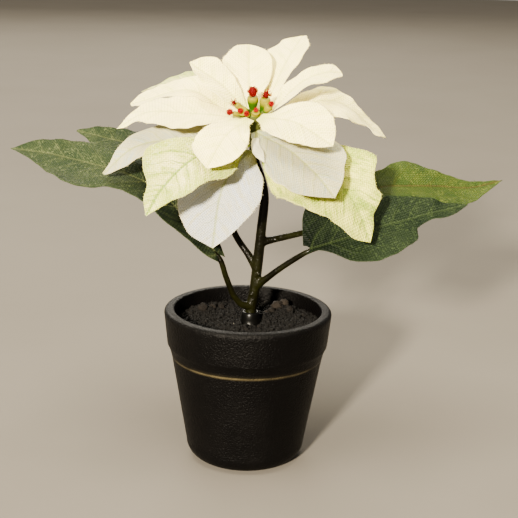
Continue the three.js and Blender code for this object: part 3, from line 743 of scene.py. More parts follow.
    @property
    def label(self) -> str:
        """Returns the material's name."""
        return self.value.name

    def material(self) -> bpy.types.Material:
        """Returns the finish's material, which the first call builds."""
        return bpy.data.materials.get(self.label) or self.value.build()


# ---------------------------------------------------------------- meshes


def spline(points: Sequence[Sequence[float]], count: int) -> np.ndarray:
    """Samples the smooth centripetal curve through the points, evenly by length.

    Args:
        points: Points of any number of values, of which the first three are a place.
        count: How many samples.

    Returns:
        The samples, one a row.
    """
    p = np.array(points, float)
    p = np.vstack([2 * p[0] - p[1], p, 2 * p[-1] - p[-2]])
    rows = []
    u = np.linspace(0, 1, 60)[:, None]
    for i in range(1, len(p) - 2):
        x0, x1, x2, x3 = p[i - 1 : i + 3]
        spans = ((x0, x1), (x1, x2), (x2, x3))
        d0, d1, d2 = (max(np.linalg.norm(b[:3] - a[:3]), 1e-4) ** 0.5 for a, b in spans)
        t1 = d1 * ((x1 - x0) / d0 - (x2 - x0) / (d0 + d1) + (x2 - x1) / d1)
        t2 = d1 * ((x2 - x1) / d1 - (x3 - x1) / (d1 + d2) + (x3 - x2) / d2)
        c2, c3 = -3 * x1 + 3 * x2 - 2 * t1 - t2, 2 * x1 - 2 * x2 + t1 + t2
        rows.append(x1 + t1 * u + c2 * u**2 + c3 * u**3)
    dense = np.vstack(rows)
    steps = np.linalg.norm(np.diff(dense[:, :3], axis=0), axis=1)
    far = np.concatenate([[0], np.cumsum(steps)])
    even = np.linspace(0, far[-1], count)
    return np.stack([np.interp(even, far, column) for column in dense.T], axis=1)


def unit(v: np.ndarray) -> np.ndarray:
    """Returns vectors of length one, along the last axis."""
    return v / np.maximum(np.linalg.norm(v, axis=-1, keepdims=True), 1e-12)


def around(count: int) -> np.ndarray:
    """Returns angles in radians, evenly round a full turn."""
    return np.linspace(0, FULL_TURN, count, endpoint=False)


def smooth_noise(seed: int, x: np.ndarray, y: np.ndarray, waves: int = 7) -> np.ndarray:
    """Sums a few seeded waves of random direction.

    Args:
        seed: The draw's seed.
        x: First coordinate, in wavelengths.
        y: Second coordinate, in wavelengths.
        waves: How many waves are summed.

    Returns:
        Values of about -1 to 1.
    """
    draw = np.random.default_rng(seed)
    total = np.zeros(np.broadcast(x, y).shape)
    for _ in range(waves):
        angle, phase = draw.uniform(0, FULL_TURN), draw.uniform(0, FULL_TURN)
        scale = draw.uniform(0.6, 1.6)
        total += np.sin(FULL_TURN * scale * (x * np.cos(angle) + y * np.sin(angle)) + phase)
    return total / waves**0.5 / 1.2


def put(name: str, data: bpy.types.ID) -> bpy.types.Object:
    """Puts a mesh, light or camera in the scene as an object of its own.

    Args:
        name: The object's name.
        data: The mesh, light or camera.

    Returns:
        The object.
    """
    made = bpy.data.objects.new(name, data)
    bpy.context.scene.collection.objects.link(made)
    return made


def new_object(name: str, points: np.ndarray, faces: Sequence[Sequence[int]]) -> bpy.types.Object:
    """Makes a smooth-shaded mesh object.

    Args:
        name: The object's name.
        points: Corners, one a row.
        faces: Corner numbers of each face.

    Returns:
        The object, in the scene.
    """
    mesh = bpy.data.meshes.new(name)
    corners = (np.asarray(points, float) * MM).tolist()
    mesh.from_pydata(corners, [], [list(map(int, face)) for face in faces])
    mesh.update()
    mesh.polygons.foreach_set("use_smooth", [True] * len(mesh.polygons))
    return put(name, mesh)


def store(made: bpy.types.Object, name: str, kind: str, values: np.ndarray) -> None:
    """Stores a named value on each corner point of a mesh.

    Args:
        made: The mesh object.
        name: The attribute's name.
        kind: FLOAT or FLOAT_VECTOR.
        values: One value or vector a point.
    """
    attribute = made.data.attributes.new(name, kind, "POINT")
    label = "vector" if kind == "FLOAT_VECTOR" else "value"
    attribute.data.foreach_set(label, np.asarray(values, np.float32).ravel())


def ring_faces(rings: int, sides: int, closed: bool = False) -> list[tuple[int, ...]]:
    """Joins rings of corners, each quad facing out where rings rise and turn left.

    Args:
        rings: How many rings there are.
        sides: How many corners each ring has.
        closed: Whether the last ring is joined to the first one.

    Returns:
        The corner numbers of each quad.
    """
    faces = []
    for i in range(rings if closed else rings - 1):
        low, high = i * sides, (i + 1) % rings * sides
        for j in range(sides):
            after = (j + 1) % sides
            faces.append((low + j, low + after, high + after, high + j))
    return faces


def lathe(name: str, profile: Sequence[Sequence[float]], sides: int) -> bpy.types.Object:
    """Turns a profile of (radius, height) about Z. Both of its ends lie on the axis.

    Args:
        name: The object's name.
        profile: The profile, which runs with the solid on its left.
        sides: How many sides the turned piece has.

    Returns:
        The closed object.
    """
    body = np.array(profile[1:-1], float)
    angle = around(sides)
    ring = np.stack([np.cos(angle), np.sin(angle)], 1)
    points = [[0, 0, profile[0][1]]]
    for radius, height in body:
        points.extend(np.column_stack([ring * radius, np.full(sides, height)]).tolist())
    points.append([0, 0, profile[-1][1]])
    faces = [tuple(c + 1 for c in f) for f in ring_faces(len(body), sides)]
    last = 1 + (len(body) - 1) * sides
    for j in range(sides):
        faces.append((0, 1 + (j + 1) % sides, 1 + j))
        faces.append((last + j, last + (j + 1) % sides, len(points) - 1))
    return new_object(name, np.array(points), faces)


def arc(
    cx: float, cy: float, radius: float, start: float, end: float, steps: int
) -> list[tuple[float, float]]:
    """Makes points of an arc, from one angle to another in degrees."""
    angles = np.radians(np.linspace(start, end, steps + 1))
    return [(cx + radius * math.cos(a), cy + radius * math.sin(a)) for a in angles]


def apply_modifiers(made: bpy.types.Object) -> bpy.types.Object:
    """Turns an object with live modifiers into a plain mesh.

    Args:
        made: The object.

    Returns:
        The object.
    """
    bpy.context.view_layer.update()
    evaluated = made.evaluated_get(bpy.context.evaluated_depsgraph_get())
    mesh = bpy.data.meshes.new_from_object(evaluated)
    made.modifiers.clear()
    made.data = mesh
    return made


def fuse(made: bpy.types.Object, voxel: float, rounds: int) -> None:
    """Fuses a piece's overlapping bodies into one skin, with soft fillets between them.

    Args:
        made: The piece.
        voxel: The size of the new skin's faces.
        rounds: How often the skin is smoothed.
    """
    skin = made.modifiers.new("fused", "REMESH")
    skin.mode, skin.voxel_size, skin.use_smooth_shade = "VOXEL", voxel * MM, True
    softened = made.modifiers.new("fillets", "SMOOTH")
    softened.factor, softened.iterations = 0.5, rounds
    apply_modifiers(made)
    made.data.materials.clear()


def triangle_count(made: bpy.types.Object) -> int:
    """Returns how many triangles a mesh object has."""
    return sum(len(p.vertices) - 2 for p in made.data.polygons)


def finish_piece(made: bpy.types.Object, finish: Finish, *nodes: str) -> bpy.types.Object:
    """Gives a piece its material and body, hides the CAD nodes that it stands for, and logs its
    triangles.

    Args:
        made: The piece, in place.
        finish: Its finish.
        *nodes: The CAD nodes that it replaces.

    Returns:
        The piece.
    """
    if not made.data.materials:
        made.data.materials.append(finish.material())
    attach(made, BODY)
    if nodes:
        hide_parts(*nodes)
    finish.slot
    LOG.info("%s: %d triangles", made.name, triangle_count(made))
    return made


class GeometryTree:
    """A Geometry Nodes tree with named inputs that ends in Realize Instances and Set Material."""

    def __init__(self, name: str, sizes: dict[str, tuple[str, Any]]) -> None:
        """Starts the tree.

        Args:
            name: The tree's name.
            sizes: Its inputs between the geometry and the material: the socket type and default
                of each.
        """
        self.tree = bpy.data.node_groups.new(name, "GeometryNodeTree")
        face = self.tree.interface
        face.new_socket("Geometry", in_out="INPUT", socket_type="NodeSocketGeometry")
        self.sockets = {}
        for label, (kind, value) in {**sizes, "Material": (MATERIAL, None)}.items():
            socket = face.new_socket(label, in_out="INPUT", socket_type=kind)
            if value is not None:
                socket.default_value = value
            self.sockets[label] = socket.identifier
        face.new_socket("Geometry", in_out="OUTPUT", socket_type="NodeSocketGeometry")
        self.graph = Graph(self.tree)
        self.source = self.graph.node("NodeGroupInput")

    def vector(self, name: str) -> Socket:
        """Reads a named vector of the geometry."""
        kind = "GeometryNodeInputNamedAttribute"
        return self.graph.node(kind, {"Name": name}, data_type="FLOAT_VECTOR").outputs[0]

    def strew(self, least_slope: float) -> Any:
        """Draws points on the faces whose normal rises more than a least slope.

        Args:
            least_slope: The least upward part of the face's normal.

        Returns:
            The node that draws the points.
        """
        g, source = self.graph, self.source.outputs
        _, _, up = g.split(g.node("GeometryNodeInputNormal").outputs[0])
        inputs = {
            "Mesh": source["Geometry"],
            "Selection": g.math("GREATER_THAN", up, least_slope),
            "Density": source["Density"],
            "Seed": source["Seed"],
        }
        return self.graph.node("GeometryNodeDistributePointsOnFaces", inputs)

    def copies(self, points: Socket, instance: Socket, turn: Socket, scale: Socket) -> Socket:
        """Sets a copy of a mesh on each point, turned and scaled, and returns the copies."""
        inputs = {"Points": points, "Instance": instance, "Rotation": turn, "Scale": scale}
        return self.graph.node("GeometryNodeInstanceOnPoints", inputs).outputs[0]

    def toned(self, geometry: Socket, tone: Socket, domain: str) -> Socket:
        """Stores the tone that the materials read, on each point or instance."""
        inputs = {"Geometry": geometry, "Name": "tone", "Value": tone}
        return self.graph.node(
            "GeometryNodeStoreNamedAttribute", inputs, data_type="FLOAT", domain=domain
        ).outputs[0]

    def joined(self, *parts: Socket) -> Socket:
        """Joins geometries in one.

        Args:
            *parts: The geometries' sockets.

        Returns:
            The whole's socket.
        """
        made = self.graph.node("GeometryNodeJoinGeometry")
        for part in parts:
            self.tree.links.new(part, made.inputs[0])
        return made.outputs[0]

    def end(self, geometry: Socket) -> None:
        """Realizes the geometry, gives it its material and closes the tree.

        Args:
            geometry: The geometry's socket.
        """
        real = self.graph.node("GeometryNodeRealizeInstances", {0: geometry})
        smooth = self.graph.node("GeometryNodeSetShadeSmooth", {0: real.outputs[0]})
        painted = self.graph.node(
            "GeometryNodeSetMaterial",
            {"Geometry": smooth.outputs[0], "Material": self.source.outputs["Material"]},
        )
        self.graph.node("NodeGroupOutput", {0: painted.outputs[0]})

    def apply(self, made: bpy.types.Object, finish: Finish, **values: Any) -> None:
        """Runs the tree on an object and keeps the resulting plain mesh.

        Args:
            made: The object.
            finish: The finish that the geometry gets.
            **values: The tree's other inputs, with _ for a space in a name.
        """
        modifier = made.modifiers.new(self.tree.name, "NODES")
        modifier.node_group = self.tree
        for label, value in {**values, "Material": finish.material()}.items():
            modifier[self.sockets[label.replace("_", " ")]] = value
        apply_modifiers(made)


# ---------------------------------------------------------------- pot, filler, soil and collar


@dataclass
class PlantPot:
    """The moulded pot with its rolled rim, and the filler that is cast inside it."""

    height: float = 84.0
    rim_radius: float = 45.0
    mouth_radius: float = 39.5
    rim_round: float = 2.2
    mouth_round: float = 0.9
    band_foot_radius: float = 43.2
    band_foot_height: float = 65.0
    body_top_radius: float = 40.8
    body_top_height: float = 58.5
    body_foot_radius: float = 32.3
    foot_round: float = 10.0
    wall: float = 2.2
    floor: float = 3.0
    sides: int = 144
    # Radius and height of the step and chamfer over the body's top, and of the band's lower edge.
    chamfer: tuple[tuple[float, float], ...] = (
        (-0.12, -0.45), (0.12, 0.05), (0.3, 0.8), (0.7, 2.4), (1.4, 4.6),
    )
    band_edge: tuple[tuple[float, float], ...] = ((-0.35, -0.5), (-0.05, 0.0), (0.1, 0.8))
    # A painted glint along the step under the band: its height, bearing and reach.
    rub_height: float = 0.5
    rub_bearing: float = -105.0  # where the painted glint on the step is brightest, in degrees
    rub_reach: float = 40.0

    def outer_radius(self, height: float) -> float:
        """Returns the body's outer radius at a height."""
        share = (height - self.foot_round) / (self.body_top_height - self.foot_round)
        return self.body_foot_radius + share * (self.body_top_radius - self.body_foot_radius)

    def inner_radius(self, height: float) -> float:
        """Measures the inner wall.

        Args:
            height: The height over the ground.

        Returns:
            The wall's inner radius there.
        """
        if height <= self.body_top_height:
            return self.outer_radius(height) - self.wall
        share = (height - self.body_top_height) / (self.height - self.body_top_height)
        low = self.body_top_radius - self.wall
        return low + share * (self.mouth_radius - low)

    def profile(self) -> list[tuple[float, float]]:
        """Draws the wall, from the middle of the base round to the middle of the floor.

        Returns:
            The profile's radii and heights.
        """
        top, rim, foot, lip = self.height, self.rim_round, self.foot_round, self.mouth_round
        corner = foot - 1
        inner_foot = self.floor + corner
        low, high = self.body_top_height, self.band_foot_height
        widen, rise = self.rim_radius - self.band_foot_radius, top - rim - high
        return [
            (0, 0),
            (12, 0),
            (20, 0),
            *arc(self.body_foot_radius - foot, foot, foot, -90, 0, 14),
            *[(self.outer_radius(h), h) for h in (18, 26, 34, 42, 50, 55)],
            *[(self.outer_radius(h), h) for h in (low - 1.6, low - 1.0)],
            *[(self.body_top_radius + out, low + up) for out, up in self.chamfer],
            *[(self.band_foot_radius + out, high + up) for out, up in self.band_edge],
            *[(self.band_foot_radius + s * widen, high + s * rise) for s in (0.25, 0.5, 0.75, 0.9)],
            *arc(self.rim_radius - rim, top - rim, rim, 0, 90, 8),
            (0.5 * (self.rim_radius + self.mouth_radius), top),
            *arc(self.mouth_radius + lip, top - lip, lip, 90, 180, 5),
            *[(self.inner_radius(h), h) for h in (80, 76, 70, 64, 58.5, 45, 30)],
            *arc(self.inner_radius(inner_foot) - corner, inner_foot, corner, 0, -90, 8),
            (0, self.floor),
        ]

    def build(self) -> None:
        """Builds the pot, and paints the filler that stays as it is in the frame."""
        made = lathe("grained_pot", self.profile(), self.sides)
        x, y, height = np.array([v.co for v in made.data.vertices]).T / MM
        # A painted glint: a highlight along the step under the band, brightest at the front left.
        outside = np.hypot(x, y) > self.body_top_radius - 1
        off = (height - self.body_top_height) / self.rub_height
        turn = (np.degrees(np.arctan2(y, x)) - self.rub_bearing) / self.rub_reach
        glint_strength = 0.3 + 0.7 * np.exp(-(turn**2)) + 0.2 * smooth_noise(5, x / 9, y / 9)
        store(made, "wear", "FLOAT", outside * np.exp(-(off**2)) * glint_strength)
        finish_piece(made, Finish.POT, "pot")
        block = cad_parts["filler_block"]
        block.data.materials.clear()
        block.data.materials.append(Finish.FILLER.material())


@dataclass
class Soil:
    """Loose crumbs that fill the pot to a little under its rim, heaped in places."""

    pot: PlantPot
    top: float = 76.0
    depth: float = 13.0
    hole: float = 5.9
    wall_gap: float = 0.5
    rings: int = 70
    sectors: int = 200
    crumbs_per_m2: float = 800000.0
    least_crumb: float = 0.4
    greatest_crumb: float = 1.6
    # Each heap's place, radius and height.
    heaps: tuple[tuple[float, float, float, float], ...] = (
        (20, 20, 9, 3.6),
        (9, 7, 6, 2.2),
        (-24, 17, 10, 2.4),
        (-6, -9, 6, 1.2),
    )
    # Each brown lump's place, radius and tone.
    brown_lumps: tuple[tuple[float, float, float, float], ...] = (
        (16, 20, 3.2, 0.86), (20, 23, 2.6, 0.9), (23, 16, 2.2, 0.8), (10, 12, 2.4, 0.85),
        (13, 15, 1.8, 0.8), (-20, 18, 2.4, 0.82), (-25, 14, 2.8, 0.8), (-15, 22, 2.0, 0.8),
        (6, -14, 1.4, 0.7),
    )
    # Tiny pale balls on the soil: painted glints.
    specks: int = 8
    speck_reach: float = 36.0
    speck_sizes: tuple[float, float] = (0.16, 0.4)

    def surface(self, x: np.ndarray, y: np.ndarray) -> np.ndarray:
        """Measures how far the soil stands above its top.

        Args:
            x: Places in the pot, to its right.
            y: The same places, to its back.

        Returns:
            The heights.
        """
        crumbs = 0.45 * np.sin(0.9 * x + 1.3) * np.cos(0.8 * y) + 0.35 * np.sin(1.7 * y - 0.9 * x)
        for hx, hy, radius, height in self.heaps:
            away = np.hypot(x - hx, y - hy) / radius
            crumbs = crumbs + height * np.exp(-away * away * 1.6)
        fine = 0.35 * smooth_noise(3, x / 5, y / 5) + 0.22 * smooth_noise(4, x / 1.9, y / 1.9, 9)
        return crumbs + fine

    def bed(self) -> bpy.types.Object:
        """Builds the soil as one closed ring round the stem, with a tone on each point.

        Returns:
            The ring.
        """
        edge = self.pot.inner_radius(self.top) - self.wall_gap
        bottom = self.top - self.depth
        low = self.pot.inner_radius(bottom) - self.wall_gap
        angle = around(self.sectors)
        loops = [(self.hole, False), (low, False)]
        for i in range(self.rings, -1, -1):
            loops.append((self.hole + (edge - self.hole) * i / self.rings, True))
        rings = []
        for radius, raised in loops:
            centre = STEM_X * np.clip((edge - radius) / (edge - self.hole), 0, 1)
            x, y = centre + radius * np.cos(angle), radius * np.sin(angle)
            z = np.full_like(x, bottom)
            if raised:
                by_wall = min(1, (edge - radius) / 4 + 0.15)
                by_stem = min(1, (radius - self.hole) / 3 + 0.1)
                z = self.top + by_wall * by_stem * self.surface(x, y)
            rings.append(np.column_stack([x, y, z]))
        points = np.vstack(rings)
        made = new_object("soil_bed", points, ring_faces(len(loops), self.sectors, closed=True))
        x, y, _ = points.T
        store(made, "tone", "FLOAT", 0.35 + 0.3 * smooth_noise(9, x / 14, y / 14))
        return made

    def crumb_tree(self) -> GeometryTree:
        """Builds the tree that strews crumbs over the bed's upper faces.

        Returns:
            The tree.
        """
        made = GeometryTree(
            "strewn_crumbs",
            {
                "Density": (FLOAT, 1000.0),
                "Least Size": (FLOAT, 0.0003),
                "Greatest Size": (FLOAT, 0.0012),
                "Brown Share": (FLOAT, 0.1),
                "Seed": (INTEGER, 1),
            },
        )
        g, source = made.graph, made.source.outputs
        crumb = g.node("GeometryNodeMeshIcoSphere", {"Radius": 1.0, "Subdivisions": 1}).outputs[0]
        span = g.minus(source["Greatest Size"], source["Least Size"])
        size = g.plus(source["Least Size"], g.times(g.math("POWER", g.draw(6), 3.0), span))
        squash = g.scaled(g.draw(7, (0.7, 0.6, 0.5), (1.3, 1.1, 0.9)), size)
        turn = g.draw(5, (0.0, 0.0, 0.0), (6.28, 6.28, 6.28))
        placed = made.copies(made.strew(0.3).outputs["Points"], crumb, turn, squash)
        tone = g.plus(g.draw(8), g.minus(source["Brown Share"], 0.1))
        made.end(made.toned(placed, tone, "INSTANCE"))
        return made

    def lumps(self) -> bpy.types.Object:
        """Builds the few brown lumps and the white specks, which are painted glints, as one mesh
        with a tone on each.

        Returns:
            The mesh's object.
        """
        draw = np.random.default_rng(21)
        places = list(self.brown_lumps)
        for _ in range(self.specks):
            radius, angle = self.speck_reach * draw.random() ** 0.5, draw.uniform(0, FULL_TURN)
            if radius > 8:
                x, y = radius * math.cos(angle), radius * math.sin(angle)
                places.append((x, y, draw.uniform(*self.speck_sizes), 1.0))
        points, faces, tones = [], [], []
        for x, y, size, tone in places:
            ball = bmesh.new()
            bmesh.ops.create_icosphere(ball, subdivisions=3 if size > 1 else 1, radius=size)
            corners = np.array([v.co for v in ball.verts])
            u, v, w = corners.T / size
            bulge = 1 + 0.22 * smooth_noise(int(size * 1000 + x), u, v + w)
            rise = self.top + float(self.surface(np.array([x]), np.array([y]))[0]) + 0.25 * size
            start = len(tones)
            points.append(corners * bulge[:, None] * [1, 1, 0.75] + [x, y, rise])
            faces += [[start + v.index for v in f.verts] for f in ball.faces]
            tones += [tone] * len(corners)
            ball.free()
        made = new_object("soil_lumps", np.vstack(points), faces)
        store(made, "tone", "FLOAT", np.array(tones))
        return made

    def build(self) -> None:
        """Builds the bed, the crumbs strewn over it and its lumps."""
        bed = self.bed()
        strewn = put("soil_crumbs", bed.data.copy())
        self.crumb_tree().apply(
            strewn,
            Finish.SOIL,
            Density=self.crumbs_per_m2,
            Least_Size=self.least_crumb * MM,
            Greatest_Size=self.greatest_crumb * MM,
            Seed=4,
            Brown_Share=-0.1,
        )
        finish_piece(bed, Finish.SOIL, "soil")
        finish_piece(strewn, Finish.SOIL)
        finish_piece(self.lumps(), Finish.SOIL)


@dataclass
class GlueCollar:
    """The glossy black sleeve of glue round the stem's foot."""

    top: float = 76.0
    height: float = 6.5
    sunk: float = 4.0
    top_radius: float = 4.4
    foot_radius: float = 5.6
    bore: float = 3.45
    sides: int = 72
    unevenness: float = 0.045

    def profile(self) -> list[tuple[float, float]]:
        """Returns the collar's closed section, as radii and heights."""
        foot, crown = self.top - self.sunk, self.top + self.height
        return [
            (self.bore, foot),
            (self.foot_radius, foot),
            (self.foot_radius, self.top - 0.5),
            (self.foot_radius - 0.1, self.top + 0.6),
            (self.foot_radius - 0.45, self.top + 1.6),
            (self.top_radius + 0.7, self.top + 2.6),
            (self.top_radius + 0.5, self.top + 4.0),
            (self.top_radius + 0.35, self.top + 5.2),
            (self.top_radius - 0.05, crown - 0.35),
            (self.top_radius - 0.5, crown - 0.02),
            (self.bore, crown - 0.25),
        ]

    def build(self) -> None:
        """Builds the collar as an uneven closed ring."""
        angle = around(self.sides)
        rings = []
        for radius, height in self.profile():
            swell = smooth_noise(12, np.cos(angle) * 0.5, np.sin(angle) * 0.5 + height / 6)
            bulge = 1 + self.unevenness * swell
            wide = np.where(radius > self.bore + 0.1, radius * np.minimum(bulge, 1.0), radius)
            ring = [STEM_X + wide * np.cos(angle), wide * np.sin(angle)]
            rings.append(np.column_stack([*ring, np.full_like(angle, height)]))
        faces = ring_faces(len(rings), self.sides, closed=True)
        made = new_object("glue_collar", np.vstack(rings), faces)
        finish_piece(made, Finish.COLLAR, "stem_collar")


# ---------------------------------------------------------------- stem


@dataclass
class Stem:
    """The branching stem, moulded in one piece: smooth where its branches leave the trunk.

    The trunk's and the branches' stations are a place and a radius each.
    """

    voxel: float = 0.45
    trunk: tuple[tuple[float, ...], ...] = (
        (STEM_X, 0, 22, 3.2), (STEM_X, 0, 60, 3.3), (STEM_X, 0, 83, 3.1), (2.9, 0, 93, 2.8),
        (4.7, -1, 112, 2.8), (5.9, -2, 128, 2.6), (7, -3, 147, 2.4), (5, -2, 156, 2.3),
        (2.4, -0.8, 163, 2.2), (1.2, -0.3, 166.8, 2.2),
    )
    branches: tuple[tuple[tuple[float, ...], ...], ...] = (
        ((2.2, -0.4, 85.5, 2.6), (-3.4, -3, 87, 1.85), (-8, -5, 93, 1.7), (-12, -7, 103, 1.6),
         (-15.6, -8.8, 113.6, 1.5)),
        ((4.6, -1, 106, 2.9), (-0.4, 2, 113, 2), (-7.4, 7, 122, 1.8), (-14, 13, 136, 1.6),
         (-18, 17, 147.5, 1.5)),
        ((5.4, -1.5, 121.2, 2.9), (10, -1, 122.2, 2.1), (20, 1, 124.2, 1.8), (31, 5, 126.2, 1.7),
         (39.5, 9, 128.6, 1.5)),
        ((3.4, 0, 96.6, 2.9), (8.4, -3, 101, 1.95), (15, -6, 107.3, 1.7), (23, -9, 114, 1.6),
         (30, -12, 119.3, 1.4)),
    )
    nubs: tuple[tuple[float, float, float, float], ...] = (
        (5.1, -3.2, 104, 1.0), (1.5, -2.4, 92.5, 0.9), (7.3, -4.2, 136, 0.9),
        (-9.6, -5.4, 97.4, 0.8), (14.6, -2.4, 122.6, 0.9), (25.5, 1.2, 124.6, 0.8),
        (12.2, -5.9, 105, 0.8), (6.7, 0.6, 141, 0.9),
    )
    trunk_rings: int = 70
    branch_rings: int = 46
    sides: int = 20

    def stalk_tree(self) -> GeometryTree:
        """Builds the tree that thickens lines into round stalks by their radius attribute.

        Returns:
            The tree.
        """
        made = GeometryTree("round_stalks", {"Sides": (INTEGER, 16)})
        g, source = made.graph, made.source.outputs
        line = g.node("GeometryNodeMeshToCurve", {"Mesh": source["Geometry"]}).outputs[0]
        kind = "GeometryNodeInputNamedAttribute"
        radius = g.node(kind, {"Name": "thick"}, data_type="FLOAT").outputs[0]
        thick = {"Curve": line, "Radius": radius}
        ring = {"Resolution": source["Sides"], "Radius": 1.0}
        inputs = {
            "Curve": g.node("GeometryNodeSetCurveRadius", thick).outputs[0],
            "Profile Curve": g.node("GeometryNodeCurvePrimitiveCircle", ring).outputs[0],
            "Scale": radius,
            "Fill Caps": True,
        }
        made.end(g.node("GeometryNodeCurveToMesh", inputs).outputs[0])
        return made

    def skeleton(self) -> bpy.types.Object:
        """Draws the middle lines of the trunk and of the branches, which end under the leaves.

        Returns:
            The lines, with a radius on each point.
        """
        points, edges, thick = [], [], []
        lines = [spline(self.trunk, self.trunk_rings)]
        for branch, leaf in zip(self.branches, LEAVES):
            lines.append(spline((*branch, *leaf.beneath()), self.branch_rings))
        for line in lines:
            start = len(points)
            points += line[:, :3].tolist()
            thick += line[:, 3].tolist()
            edges += [(start + i, start + i + 1) for i in range(len(line) - 1)]
        mesh = bpy.data.meshes.new("moulded_stem")
        mesh.from_pydata((np.array(points) * MM).tolist(), edges, [])
        made = put("moulded_stem", mesh)
        store(made, "thick", "FLOAT", np.array(thick) * MM)
        return made

    def build(self) -> None:
        """Builds the stalks, adds the moulding's nubs and fuses them all."""
        made = self.skeleton()
        self.stalk_tree().apply(made, Finish.STEM, Sides=self.sides)
        shape = bmesh.new()
        shape.from_mesh(made.data)
        for x, y, z, size in self.nubs:
            place = Matrix.Translation(Vector((x, y, z)) * MM)
            bmesh.ops.create_icosphere(shape, subdivisions=2, radius=size * MM, matrix=place)
        shape.to_mesh(made.data)
        shape.free()
        fuse(made, self.voxel, 7)
        finish_piece(made, Finish.STEM, "stem")


# ---------------------------------------------------------------- bracts and leaves


Edge = tuple[tuple[float, float], ...]
TIP_WIDTH = 0.15


@dataclass(frozen=True)
class Flap:
    """A stretch of a blade's edge that is folded over onto its upper face.

    The side is -1 for the left edge and 1 for the right one, and start, end, start_reach and
    end_reach are shares of the blade's length.
    """

    side: int
    start: float
    end: float
    width: float
    lift: float = 0.9
    start_reach: float = 0.07
    end_reach: float = 0.34

    def share(self, t: np.ndarray) -> np.ndarray:
        """Measures how far the edge is folded.

        Args:
            t: Shares of the blade's length.

        Returns:
            0 where the edge is flat and 1 where it is folded right over.
        """
        into = np.minimum((t - self.start) / self.start_reach, (self.end - t) / self.end_reach)
        into = np.clip(into, 0, 1)
        return into * into * (3 - 2 * into)


